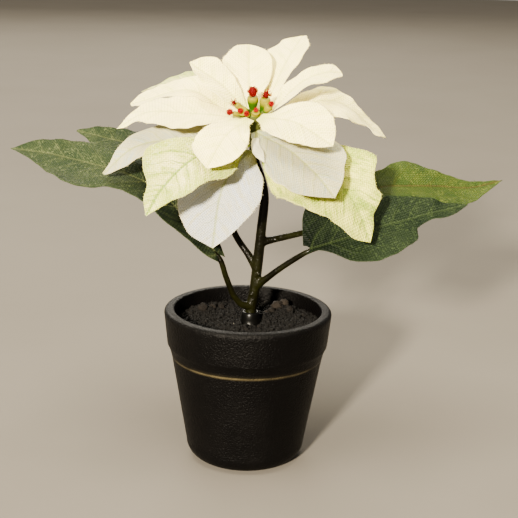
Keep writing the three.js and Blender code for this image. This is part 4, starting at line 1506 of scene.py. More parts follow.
@dataclass(frozen=True)
class Blade:
    """A stiff cloth blade round a rib. Angles are in degrees.

    An edge's stations are shares of the blade's length and the width from the rib there.
    """

    name: str
    rib: tuple[tuple[float, float, float], ...]
    finish: Finish
    left: Edge = ()
    right: Edge = ()
    root_width: float = 6.0
    fold: float = 8.0
    cup: float = 0.0
    wave: float = 1.0
    waves: float = 2.2
    phase: float = 0.0
    roll: float = 0.0
    twist: float = 0.0
    ear: float = 0.0
    heading: float | None = None
    flaps: tuple[Flap, ...] = ()
    cloth: float = 0.34
    least_cloth: float = 0.03
    crinkle: float = 0.35
    ruffle: float = 0.45
    ragged: float = 0.012
    vein_lift: float = 0.16
    vein_width: float = 0.55
    vein_spacing: float = 8.5
    groove: float = 0.3
    groove_width: float = 0.7
    rib_height: float = 0.55
    rib_width: float = 0.75
    rows: int = 96
    columns: int = 56

    def stations(self) -> tuple[tuple[float, float, float], ...]:
        """Returns the places that the rib passes through."""
        return self.rib

    def line(self) -> np.ndarray:
        """Returns the rib's curve, sampled evenly by length."""
        return spline(self.stations(), 600)

    def half_width(self, t: np.ndarray, side: int) -> np.ndarray:
        """Measures the blade from its rib to one edge, smoothly through the edge's stations.

        Args:
            t: Shares of the blade's length.
            side: -1 for the left edge and 1 for the right one.

        Returns:
            The widths.
        """
        stations = self.left if side < 0 else self.right
        ends = (0, self.root_width / 2), (1, TIP_WIDTH)
        at, width = np.array([ends[0], *stations, ends[1]], float).T
        last = len(at) - 1
        order = np.arange(len(at))
        before, after = np.maximum(order - 1, 0), np.minimum(order + 1, last)
        slope = (width[after] - width[before]) / (at[after] - at[before])
        i = np.clip(np.searchsorted(at, t, side="right") - 1, 0, last - 1)
        span = at[i + 1] - at[i]
        u = (t - at[i]) / span
        through = width[i] * (1 + 2 * u) * (1 - u) ** 2 + width[i + 1] * u**2 * (3 - 2 * u)
        bend = span * (slope[i] * u * (1 - u) ** 2 - slope[i + 1] * u**2 * (1 - u))
        return np.maximum(through + bend, TIP_WIDTH)

    def length(self) -> float:
        """Returns the rib's length."""
        return float(np.linalg.norm(np.diff(self.line(), axis=0), axis=1).sum())

    def seed(self) -> int:
        """Returns a number of the blade's own for its draws."""
        return sum(ord(c) * (i + 1) for i, c in enumerate(self.name))

    def axes(self, t: np.ndarray) -> tuple[np.ndarray, np.ndarray, np.ndarray, np.ndarray]:
        """Follows the rib and turns about it.

        Args:
            t: Shares along the rib.

        Returns:
            The rib's places, and its directions forward, to the right edge and off its face.
        """
        line = self.line()
        step = np.arange(len(line)) / (len(line) - 1)
        centre = np.stack([np.interp(t, step, c) for c in line.T], 1)
        tangents = unit(np.gradient(line, axis=0))
        along = unit(np.stack([np.interp(t, step, c) for c in tangents.T], 1))
        if self.heading is None:
            chord = line[-1] - line[0]
            heading = math.atan2(chord[1], chord[0])
        else:
            heading = math.radians(self.heading)
        level = np.array([math.sin(heading), -math.cos(heading), 0.0])
        right = unit(level - along * (along @ level)[:, None])
        angle = np.radians(self.roll + self.twist * (t - 0.5))[:, None]
        right = right * np.cos(angle) + np.cross(along, right) * np.sin(angle)
        return centre, along, right, np.cross(right, along)

    def middle(self, t: np.ndarray, s: np.ndarray) -> tuple[np.ndarray, np.ndarray, np.ndarray]:
        """Computes the blade's middle surface.

        Args:
            t: Shares along the rib, one a row of the grid.
            s: Shares across it, from -1 at the left edge to 1 at the right one.

        Returns:
            The grid's points, its distances across and its distances along.
        """
        centre, along, right, face = self.axes(t)
        row, side, reach = t[:, None], np.sign(s)[None, :], np.abs(s)[None, :]
        ragged = 1 + self.ragged * smooth_noise(self.seed(), t * 9, t * 0)
        edges = [(self.half_width(t, edge) * ragged)[:, None] for edge in (-1, 1)]
        edge = np.where(s[None, :] < 0, *edges)
        width, lift = self.folded(t, s, edge)
        fold = np.radians(self.fold) * np.minimum(1, row / 0.3)
        ripple = np.sin(FULL_TURN * (self.waves * row + 0.3 * s[None, :] + self.phase))
        swell = self.cup + self.wave * ripple
        height = lift + width * np.sin(fold) + s[None, :] ** 2 * np.sin(np.pi * row) * swell
        away = row * self.length()
        across = side * (edge * reach)
        broad = smooth_noise(self.seed() + 1, across / 26, away / 34)
        frill = smooth_noise(self.seed() + 2, side * 3 + away / 11, 0 * across)
        loose = self.crinkle * broad + self.ruffle * reach**3 * frill
        height = height + np.minimum(1, row / 0.35) * loose
        ear = self.ear * s[None, :] ** 2 * np.maximum(0, 1 - row / 0.3) ** 2
        points = (
            centre[:, None]
            + right[:, None] * (side * width * np.cos(fold))[..., None]
            + face[:, None] * height[..., None]
            - along[:, None] * ear[..., None]
        )
        return points, across, away + 0 * across

    def folded(
        self, t: np.ndarray, s: np.ndarray, edge: np.ndarray
    ) -> tuple[np.ndarray, np.ndarray]:
        """Folds the edge's flaps over.

        Args:
            t: Shares along the rib.
            s: Shares across it.
            edge: Half widths, one a point of the grid.

        Returns:
            The distances from the rib and the lifts off the blade's face, one a point of the grid.
        """
        crease = 0.8
        reach = np.abs(s)[None, :]
        width, lift = edge * reach, 0 * edge * reach
        for flap in self.flaps:
            share = flap.share(t)[:, None] * (np.sign(s) == flap.side)[None, :]
            over = np.clip((reach - crease) / (1 - crease), 0, 1)
            turned = np.where(over > 0, edge - flap.width * over, edge * reach / crease)
            width = width + share * (turned - width)
            lift = lift + share * flap.lift * np.sin(np.pi / 2 * np.minimum(1, 3 * over))
        return width, lift

    def relief(
        self, across: np.ndarray, along: np.ndarray, s: np.ndarray
    ) -> tuple[np.ndarray, np.ndarray]:
        """Measures the cloth's upper and lower faces from its middle surface.

        Args:
            across: Distances from the rib.
            along: Distances from the root.
            s: Shares across, one a column.

        Returns:
            The heights of the upper and of the lower face.
        """
        far = np.abs(across)
        start = (along - VEIN_SLANT * far - VEIN_CURVE * far**2) / self.vein_spacing
        near = np.abs(start - np.round(start)) * self.vein_spacing / VEIN_LEAN
        vein = np.exp(-((near / self.vein_width) ** 2)) * (1 - 0.7 * np.abs(s)[None, :] ** 2)
        groove = self.groove * np.exp(-((far / self.groove_width) ** 2))
        half = self.cloth / 2
        upper = half + self.vein_lift * vein * np.minimum(1, far / 2.5) - groove
        shrink = np.clip(1.05 - along / along.max(), 0, 1)
        rib = self.rib_height * np.exp(-((far / self.rib_width) ** 4)) * shrink
        return np.maximum(upper, self.least_cloth), half + rib + 0.6 * self.vein_lift * vein

    @staticmethod
    def sheet_faces(rows: int, wide: int) -> list[tuple[int, ...]]:
        """Joins two grids of corners, an upper and a lower one, into a closed sheet.

        Args:
            rows: Rows of each grid.
            wide: Corners a row.

        Returns:
            The corner numbers of each quad.
        """
        under = rows * wide
        faces = []
        for i in range(rows - 1):
            for a in range(i * wide, (i + 1) * wide - 1):
                b, c = a + 1, a + wide
                faces.append((a, b, c + 1, c))
                faces.append((under + a, under + c, under + c + 1, under + b))
            left, right = i * wide, i * wide + wide - 1
            faces.append((left, left + wide, under + left + wide, under + left))
            faces.append((right, under + right, under + right + wide, right + wide))
        last = (rows - 1) * wide
        for j in range(wide - 1):
            faces.append((j, under + j, under + j + 1, j + 1))
            faces.append((last + j, last + j + 1, under + last + j + 1, under + last + j))
        return faces

    def build(self) -> None:
        """Builds the blade as a closed sheet with raised veins, replacing its CAD node."""
        share = np.linspace(0, 1, self.rows + 1)
        t = 0.6 * share + 0.2 * (1 - np.cos(np.pi * share))
        s = np.linspace(-1, 1, self.columns + 1)
        middle, across, along = self.middle(t, s)
        face = unit(np.cross(np.gradient(middle, axis=1), np.gradient(middle, axis=0)))
        upper, lower = self.relief(across, along, s)
        top = middle + face * upper[..., None]
        bottom = middle - face * lower[..., None]
        points = np.vstack([top.reshape(-1, 3), bottom.reshape(-1, 3)])
        made = new_object(f"cloth_{self.name}", points, self.sheet_faces(*across.shape))
        reach = np.broadcast_to(np.abs(s)[None, :], across.shape)
        cut = np.stack([across, along, reach], -1).reshape(-1, 3)
        store(made, "cut", "FLOAT_VECTOR", np.vstack([cut, cut]))
        store(made, "under", "FLOAT", np.repeat([0.0, 1.0], across.size))
        finish_piece(made, self.finish, self.name)


def head_point(x: float, y: float, z: float) -> np.ndarray:
    """Returns a point of the leaning head in the plant's frame."""
    c, s = math.cos(HEAD_TILT), math.sin(HEAD_TILT)
    return HEAD + np.array([x, y * c - z * s, y * s + z * c])


@dataclass(frozen=True)
class Bract(Blade):
    """A coloured blade that springs from round the leaning head."""

    level: float = 2.5
    radius: float = 5.9
    bearing: float | None = None

    def stations(self) -> tuple[tuple[float, float, float], ...]:
        """Adds the root, at the bract's level and distance from the head's axis, to the rib.

        Returns:
            The places that the rib passes through.
        """
        if self.bearing is None:
            x, y, _ = np.array(self.rib[0]) - HEAD
            turn = math.atan2(y, x)
        else:
            turn = math.radians(self.bearing)
        root = head_point(self.radius * math.cos(turn), self.radius * math.sin(turn), self.level)
        return (tuple(root), *self.rib)


@dataclass(frozen=True)
class Leaf(Blade):
    """A green blade at the end of a branch."""

    ear: float = 3.0
    vein_spacing: float = 11.0
    vein_lift: float = 0.22
    rib_height: float = 0.9
    crinkle: float = 0.5
    rows: int = 120
    columns: int = 60
    # Where the branch's end is glued under the rib: shares of the length, and its radius there.
    glued: tuple[tuple[float, float], ...] = ((0.035, 1.35), (0.075, 1.15), (0.12, 0.8))
    branch_depth: float = 1.5

    def beneath(self) -> list[tuple[float, ...]]:
        """Follows the rib's underside, where the branch is glued.

        Returns:
            Stations of the branch's end, each a place and a radius.
        """
        t, thick = np.array(self.glued).T
        middle, _, _ = self.middle(t, np.array([-0.05, 0.0, 0.05]))
        face = unit(np.cross(middle[:, 2] - middle[:, 0], np.gradient(middle[:, 1], axis=0)))
        centre = middle[:, 1] - face * self.branch_depth
        return [(*point, radius) for point, radius in zip(centre.tolist(), thick)]


@dataclass
class Fray:
    """Loose thread ends along the cut edges of the blades of one finish."""

    blades: Sequence[Blade]
    room: np.ndarray
    pitch: float = 0.55
    longest: float = 1.1
    thickness: float = 0.1
    first: float = 0.06
    last: float = 0.93
    kept: float = 0.7
    lean: float = 0.35
    stray: float = 0.18
    sunk: float = 0.12

    def tree(self) -> GeometryTree:
        """Builds the tree that sets a thread end on each point, along the point's way vector.

        Returns:
            The tree.
        """
        sizes = {"Longest": (FLOAT, 0.001), "Thickness": (FLOAT, 0.0001), "Seed": (INTEGER, 1)}
        made = GeometryTree("frayed_threads", sizes)
        g, source = made.graph, made.source.outputs
        points = g.node("GeometryNodeMeshToPoints", {"Mesh": source["Geometry"]}).outputs[0]
        way = {"Vector": made.vector("way")}
        turn = g.node("FunctionNodeAlignRotationToVector", way, axis="Z").outputs[0]
        sides = {
            "Vertices": 4,
            "Radius Top": g.times(source["Thickness"], 0.6),
            "Radius Bottom": source["Thickness"],
            "Depth": source["Longest"],
        }
        thread = g.node("GeometryNodeMeshCone", sides).outputs["Mesh"]
        scale = g.join(1.0, 1.0, g.math("POWER", g.draw(source["Seed"], 0.15, 1.0), 1.6))
        made.end(made.copies(points, thread, turn, scale))
        return made

    def ends(self) -> tuple[np.ndarray, np.ndarray, np.ndarray]:
        """Draws the thread ends of all the blades.

        Returns:
            Their places, their ways and their places on the uncurved cloth.
        """
        places, ways, cuts = [], [], []
        for blade in self.blades:
            draw = np.random.default_rng(blade.seed() + 7)
            count = int(blade.length() * (self.last - self.first) / self.pitch)
            t = np.linspace(self.first, self.last, count)
            middle, across, along = blade.middle(t, np.array([-1, -0.97, 0, 0.97, 1]))
            forward = unit(np.gradient(middle, axis=0))
            for rim, inner in ((0, 1), (4, 3)):
                out = unit(middle[:, rim] - middle[:, inner])
                lean = draw.normal(0, self.lean, (count, 1)) * forward[:, rim]
                ways.append(unit(out + lean + draw.normal(0, self.stray, (count, 3))))
                places.append(middle[:, rim] - self.sunk * out)
                cuts.append(np.stack([across[:, rim], along[:, rim], np.ones(count)], 1))
        return np.vstack(places), np.vstack(ways), np.vstack(cuts)

    def build(self) -> None:
        """Builds the threads of all the blades as one piece."""
        finish = self.blades[0].finish
        place, way, cut = self.ends()
        ends = place + way * self.longest
        inside = np.all((ends > self.room[0]) & (ends < self.room[1]), axis=1)
        keep = inside & (np.random.default_rng(3).random(len(place)) < self.kept)
        made = new_object(f"frayed_{finish.label}", place[keep], [])
        store(made, "way", "FLOAT_VECTOR", way[keep])
        store(made, "cut", "FLOAT_VECTOR", cut[keep])
        self.tree().apply(
            made, finish, Longest=self.longest * MM, Thickness=self.thickness * MM, Seed=2
        )
        finish_piece(made, finish)


def layer(common: dict[str, Any], *bracts: dict[str, Any]) -> list[Bract]:
    """Makes bracts that share a layer's values."""
    return [Bract(**{**common, **own}) for own in bracts]


INNER_BRACTS = layer(
    dict(level=2.5, radius=5.9, root_width=6.0, finish=Finish.WHITE),
    dict(
        name="bract_inner_back", phase=0.4, rib=((-2.5, 13, 204), (-3, 28, 218), (-3, 35, 221)),
        left=((0.2, 4), (0.35, 6.8), (0.5, 11.5), (0.65, 14.2), (0.75, 12), (0.85, 9), (0.93, 6)),
        right=((0.2, 6.5), (0.35, 10), (0.5, 12), (0.65, 12.5), (0.75, 11.5), (0.85, 9.5),
            (0.93, 5.5)),
    ),
    dict(
        name="bract_inner_left", level=3.0, radius=6.4, bearing=149.0, root_width=4.6, roll=-18.0,
        rib=((-15, 0.5, 202.5), (-33.5, 13, 213)),
        left=((0.1, 4), (0.25, 8.5), (0.4, 9.5), (0.6, 9.2), (0.7, 8.2), (0.8, 5.7), (0.9, 2.7)),
        right=((0.1, 4), (0.25, 6.7), (0.4, 8), (0.6, 12), (0.7, 13), (0.8, 12.5), (0.9, 10.8),
            (0.97, 7)),
    ),
    dict(
        name="bract_inner_right", level=0.5, radius=6.3, roll=10.0, twist=56.0,
        rib=((25, 0, 206.5), (37, 6, 210.6), (45.4, 12, 209.8)),
        left=((0.1, 4), (0.2, 6.5), (0.35, 8.5), (0.5, 7.5), (0.65, 6.6), (0.8, 6), (0.9, 5.4),
            (0.96, 4.2)),
        right=((0.1, 4), (0.2, 7), (0.35, 11), (0.5, 12), (0.65, 10.5), (0.8, 7.6), (0.9, 5.4),
            (0.96, 3.6)),
    ),
    dict(
        name="bract_inner_front", level=3.0, radius=7.4, bearing=250.0, root_width=5.6, roll=-10.0,
        rib=((-13, -26, 182), (-22, -44, 169)),
        left=((0.1, 3.8), (0.2, 8), (0.3, 11.5), (0.45, 13.8), (0.6, 15.3), (0.7, 16), (0.8, 14),
            (0.9, 9)),
        right=((0.1, 4), (0.2, 8), (0.3, 10.2), (0.45, 11.6), (0.6, 13.3), (0.7, 13), (0.8, 10.3),
            (0.9, 6)),
    ),
    dict(
        name="bract_inner_side", level=3.8, radius=6.4, bearing=292.0, roll=25.0,
        rib=((21, -27, 189.5), (39.5, -37, 180)),
        left=((0.1, 4.5), (0.2, 8), (0.3, 11), (0.4, 15), (0.5, 18), (0.6, 16.5), (0.7, 15),
            (0.8, 13), (0.9, 8.5)),
        right=((0.1, 6), (0.2, 11), (0.3, 14), (0.4, 16.5), (0.5, 17), (0.6, 15), (0.7, 13),
            (0.8, 11), (0.9, 8)),
    ),
)

MIDDLE_BRACTS = layer(
    dict(level=-5.0, radius=4.8, root_width=6.0, finish=Finish.WHITE),
    dict(
        name="bract_middle_back", level=-4.0, roll=-14.0, rib=((16, 25, 211), (25.8, 46.6, 225.6)),
        left=((0.15, 6), (0.3, 8.5), (0.45, 11.4), (0.6, 13), (0.72, 14), (0.8, 14.5), (0.9, 11.5),
            (0.96, 9.5)),
        right=((0.15, 4), (0.3, 5.5), (0.45, 8.3), (0.6, 9.3), (0.72, 11), (0.8, 10.5), (0.9, 6.5),
            (0.96, 4)),
    ),
    dict(
        name="bract_middle_left_back", roll=-20.0,
        rib=((-16, 9, 189.5), (-34, 19, 198), (-66, 33, 187)),
        left=((0.1, 3.5), (0.25, 5.5), (0.4, 7.5), (0.55, 10), (0.7, 11.5), (0.8, 10.5), (0.9, 8),
            (0.96, 5)),
        right=((0.1, 4.5), (0.25, 10), (0.4, 12.5), (0.55, 12.7), (0.7, 12.8), (0.8, 11.5),
            (0.9, 10.6), (0.96, 8)),
    ),
    dict(
        name="bract_middle_left", level=-0.5, radius=5.2, bearing=178.0, root_width=4.5, fold=0.0,
        roll=-20.0, rib=((-38, -5, 190), (-56, -6, 188.5), (-69.5, -7, 181)),
        left=((0.1, 4), (0.2, 9), (0.35, 14), (0.5, 16), (0.65, 15), (0.75, 11), (0.85, 5),
            (0.93, 2.2)),
        right=((0.1, 5), (0.2, 9.5), (0.35, 13), (0.5, 15.5), (0.65, 16), (0.75, 12.5), (0.85, 7),
            (0.93, 3.5)),
    ),
    dict(
        name="bract_middle_left_front", finish=Finish.SIDE, level=-8.0, bearing=186.0, roll=-32.0,
        rib=((-38, -7, 176.5), (-60, -7, 171.5), (-76, -12, 158)),
        left=((0.15, 3.5), (0.3, 4), (0.45, 5.5), (0.6, 9.2), (0.7, 10.8), (0.8, 10.2), (0.9, 7),
            (0.96, 4)),
        right=((0.15, 6), (0.3, 9.5), (0.45, 10.5), (0.6, 10.3), (0.7, 9), (0.8, 5.8), (0.9, 2.8),
            (0.96, 1.3)),
    ),
    dict(
        name="bract_middle_side", finish=Finish.SIDE, flaps=(Flap(1, 0.05, 0.62, 6.5),), columns=80,
        radius=5.2, bearing=275.0, roll=12.0, rib=((24, -29, 172), (41, -45, 156)),
        left=((0.1, 7.5), (0.2, 13), (0.35, 20), (0.5, 24), (0.6, 23.5), (0.7, 20.5), (0.8, 15),
            (0.9, 9.3)),
        right=((0.1, 10), (0.2, 16), (0.35, 23), (0.5, 27), (0.6, 27.8), (0.7, 27), (0.8, 24),
            (0.9, 17)),
    ),
    dict(
        name="bract_middle_right", level=-8.0, roll=26.0, rib=((40, 10, 196), (72, 24, 174)),
        left=((0.1, 4.5), (0.25, 7), (0.4, 9), (0.52, 11.5), (0.65, 8.5), (0.75, 6), (0.85, 6.5),
            (0.93, 4.8)),
        right=((0.1, 5), (0.25, 12), (0.4, 20), (0.5, 24), (0.65, 18.5), (0.75, 13), (0.85, 12.5),
            (0.93, 7)),
    ),
)

OUTER_BRACTS = layer(
    dict(level=-13.0, radius=4.0, root_width=4.5, finish=Finish.GREENISH),
    dict(
        name="bract_outer_front", finish=Finish.COOL, level=-17.0, bearing=262.0, heading=262.0,
        rib=((-7, -13, 166), (-15, -21, 153), (-19, -24, 123.5)),
        left=((0.1, 7.5), (0.2, 15), (0.3, 19.5), (0.45, 21.3), (0.6, 19.4), (0.7, 16), (0.8, 11.7),
            (0.9, 6.5)),
        right=((0.1, 7.5), (0.2, 14), (0.3, 18), (0.45, 20.5), (0.6, 20.8), (0.7, 20), (0.8, 16.8),
            (0.92, 11)),
    ),
    dict(
        name="bract_outer_left_back", finish=Finish.PALE_GREEN, bearing=135.0, roll=-14.0,
        rib=((-24, 38, 198), (-44, 52, 197), (-62.5, 60, 190)),
        left=((0.1, 5), (0.25, 11), (0.4, 15), (0.55, 16), (0.7, 13.5), (0.85, 8)),
        right=((0.1, 5), (0.25, 11), (0.4, 15), (0.55, 17), (0.7, 15), (0.8, 13.5), (0.9, 8)),
    ),
    dict(
        name="bract_outer_left_front", finish=Finish.PALE_GREEN, level=-12.6, bearing=218.0,
        roll=-35.0, rib=((-27, -29, 172), (-43.5, -46, 158.5), (-50.5, -53, 146.5)),
        left=((0.1, 6), (0.2, 12), (0.3, 17.5), (0.42, 19.6), (0.55, 15.5), (0.65, 14.3),
            (0.75, 12.5), (0.85, 7.5)),
        right=((0.1, 3.5), (0.2, 5.5), (0.3, 7.5), (0.42, 10.5), (0.55, 17), (0.65, 19.5),
            (0.75, 14.5), (0.82, 7.5), (0.92, 4.5)),
    ),
    dict(
        name="bract_outer_right_front", level=-15.0, bearing=325.0, roll=42.0, twist=-32.0,
        rib=((29, -14, 168.5), (50, -24, 152), (61, -28, 129.5)),
        left=((0.1, 5), (0.25, 10), (0.4, 15.2), (0.5, 21), (0.59, 25.2), (0.66, 18), (0.72, 15),
            (0.77, 16), (0.85, 8.3), (0.93, 5)),
        right=((0.05, 9), (0.12, 18.5), (0.2, 25), (0.3, 27.4), (0.45, 27.8), (0.6, 24.5),
            (0.72, 19.7), (0.85, 14.2), (0.93, 9.8)),
    ),
    dict(
        name="bract_outer_back", bearing=55.0, rib=((16, 34, 180), (24, 62, 168)),
        left=((0.1, 6), (0.25, 14), (0.4, 19), (0.55, 20), (0.7, 16.5), (0.85, 10)),
        right=((0.1, 6), (0.25, 14), (0.4, 19), (0.55, 20), (0.7, 16.5), (0.85, 10)),
    ),
)

LEAVES = [
    Leaf(
        name="leaf_left_low", finish=Finish.LEAF, roll=-25.0,
        rib=((-16.4, -9.2, 115.6), (-32, -5, 132), (-53, -2, 151), (-85, 3, 160.5), (-127, 8, 167)),
        left=((0.05, 7), (0.15, 10.5), (0.28, 17.2), (0.38, 15.5), (0.45, 14.4), (0.54, 16.5),
            (0.6, 22), (0.67, 25.7), (0.75, 22.5), (0.85, 12.3), (0.93, 5)),
        right=((0.05, 6.5), (0.15, 10), (0.28, 12), (0.38, 10), (0.45, 9), (0.54, 11.5),
            (0.62, 14.8), (0.7, 14.8), (0.8, 11.7), (0.9, 7.9)),
    ),
    Leaf(
        name="leaf_left_back", finish=Finish.LEAF, roll=-25.0,
        rib=((-20, 19, 149), (-38, 31, 158), (-62, 41, 163), (-98, 50, 169)),
        left=((0.08, 9), (0.2, 14.5), (0.35, 19), (0.5, 21.5), (0.6, 22.5), (0.7, 20), (0.8, 13.3),
            (0.9, 5.3)),
        right=((0.08, 7), (0.2, 11), (0.35, 10), (0.5, 8.5), (0.62, 10.7), (0.7, 10.6), (0.8, 8.7),
            (0.9, 5.4)),
    ),
    Leaf(
        name="leaf_right_high", finish=Finish.BRIGHT_LEAF, roll=30.0,
        rib=((41.4, 10.2, 129.6), (54, 18, 140), (71, 26, 146.5), (103, 37, 145.5),
            (122, 41, 144.5), (140, 44, 148.5)),
        left=((0.06, 7), (0.15, 9), (0.28, 9.5), (0.38, 12.5), (0.48, 18), (0.56, 17), (0.66, 11),
            (0.78, 6.5), (0.9, 3)),
        right=((0.06, 8), (0.15, 13), (0.28, 18), (0.4, 21), (0.5, 22), (0.6, 22), (0.7, 20),
            (0.8, 14), (0.9, 6.5)),
    ),
    Leaf(
        name="leaf_right_low", finish=Finish.DARK_LEAF, roll=40.0,
        rib=((31.5, -13, 121.5), (50, -11, 127), (78, -4, 135), (115, 6, 142.5)),
        left=((0.04, 20), (0.1, 26.5), (0.2, 27), (0.32, 25.3), (0.42, 22.5), (0.5, 18), (0.6, 15),
            (0.7, 11.7), (0.8, 8), (0.9, 3.5)),
        right=((0.05, 2), (0.12, 5.5), (0.2, 14), (0.3, 19.6), (0.4, 20.4), (0.5, 18.5),
            (0.58, 15.6), (0.62, 13.4), (0.64, 7.5), (0.75, 4.2), (0.88, 4.6), (0.95, 2.3)),
    ),
]


# ---------------------------------------------------------------- the head


def to_head() -> Matrix:
    """Returns the turn and shift from the leaning head's frame to the plant's, in metres."""
    return Matrix.Translation(Vector(HEAD) * MM) @ Matrix.Rotation(HEAD_TILT, 4, "X")


# The outline of a bud, from its foot to its mouth: shares of its radius and of its length.
CUP = (
    (0, -0.3), (0.35, -0.3), (0.5, -0.28), (0.58, -0.1), (0.6, 0.1), (0.7, 0.25), (0.83, 0.4),
    (0.93, 0.54), (1.0, 0.68), (1.0, 0.79), (0.95, 0.88), (0.86, 0.94), (0.74, 0.965),
    (0.6, 0.95), (0.4, 0.91), (0.2, 0.89), (0, 0.88),
)


@dataclass(frozen=True)
class Bud:
    """A small egg-shaped bud on the head, with a red tuft.

    The lean is how far the bud's axis runs right and back for each unit that it rises, spikes is
    how much of the tuft is thin stamens, and the bud is green up to its share green.
    """

    x: float
    y: float
    foot: float
    length: float
    radius: float
    lean: tuple[float, float]
    tuft: float
    spikes: float = 0.4
    green: float = 0.2

    def place(self) -> Matrix:
        """Returns the turn and shift from the bud's own frame to the plant's, in metres."""
        turn = Vector((0, 0, 1)).rotation_difference(Vector((*self.lean, 1)).normalized())
        own = Matrix.Translation(Vector((self.x, self.y, self.foot)) * MM)
        return to_head() @ own @ turn.to_matrix().to_4x4()

    def cup(self, name: str) -> bpy.types.Object:
        """Turns the bud as a goblet that widens to a soft rim round its mouth.

        Args:
            name: The object's name.

        Returns:
            The goblet, in place.
        """
        made = lathe(name, [(r * self.radius, h * self.length) for r, h in CUP], 40)
        made.data.transform(self.place())
        return made

    def link(self, name: str) -> bpy.types.Object:
        """Builds the bud's short stalk, from the middle of the head.

        Args:
            name: The object's name.

        Returns:
            The stalk, in place.
        """
        stations = (
            (0, 0, -2, 1.6),
            (0.6 * self.x, 0.6 * self.y, 0.45 * self.foot, 1.4),
            (self.x, self.y, self.foot + 0.6, 0.5 * self.radius),
        )
        line = spline(stations, 12)
        sides = 14
        angle = around(sides)[:, None]
        along = unit(np.gradient(line[:, :3], axis=0))
        side = unit(np.cross(along, [0.3, 0.8, 0.1]))
        other = np.cross(along, side)
        rings = [
            c[:3] + c[3] * (np.cos(angle) * u + np.sin(angle) * v)
            for c, u, v in zip(line, side, other)
        ]
        last = (len(rings) - 1) * sides
        caps = [tuple(range(sides - 1, -1, -1)), tuple(range(last, last + sides))]
        points = np.array([head_point(*p) for p in np.vstack(rings)])
        return new_object(name, points, [*ring_faces(len(rings), sides), *caps])

    def knob(self, name: str) -> bpy.types.Object:
        """Builds the tuft's rounded middle, in the frame of the bud's mouth.

        Args:
            name: The object's name.

        Returns:
            The knob.
        """
        radius = self.tuft * (1.25 - 0.5 * self.spikes)
        low, high = -0.35 * self.radius, self.tuft * (1.3 - 0.6 * self.spikes) + radius
        middle, half = (low + high) / 2, (high - low) / 2
        turn = np.linspace(-np.pi / 2, np.pi / 2, 15)
        profile = np.column_stack([radius * np.cos(turn), middle + half * np.sin(turn)])
        made = lathe(name, profile, 24)
        made.data.shade_flat()
        return made


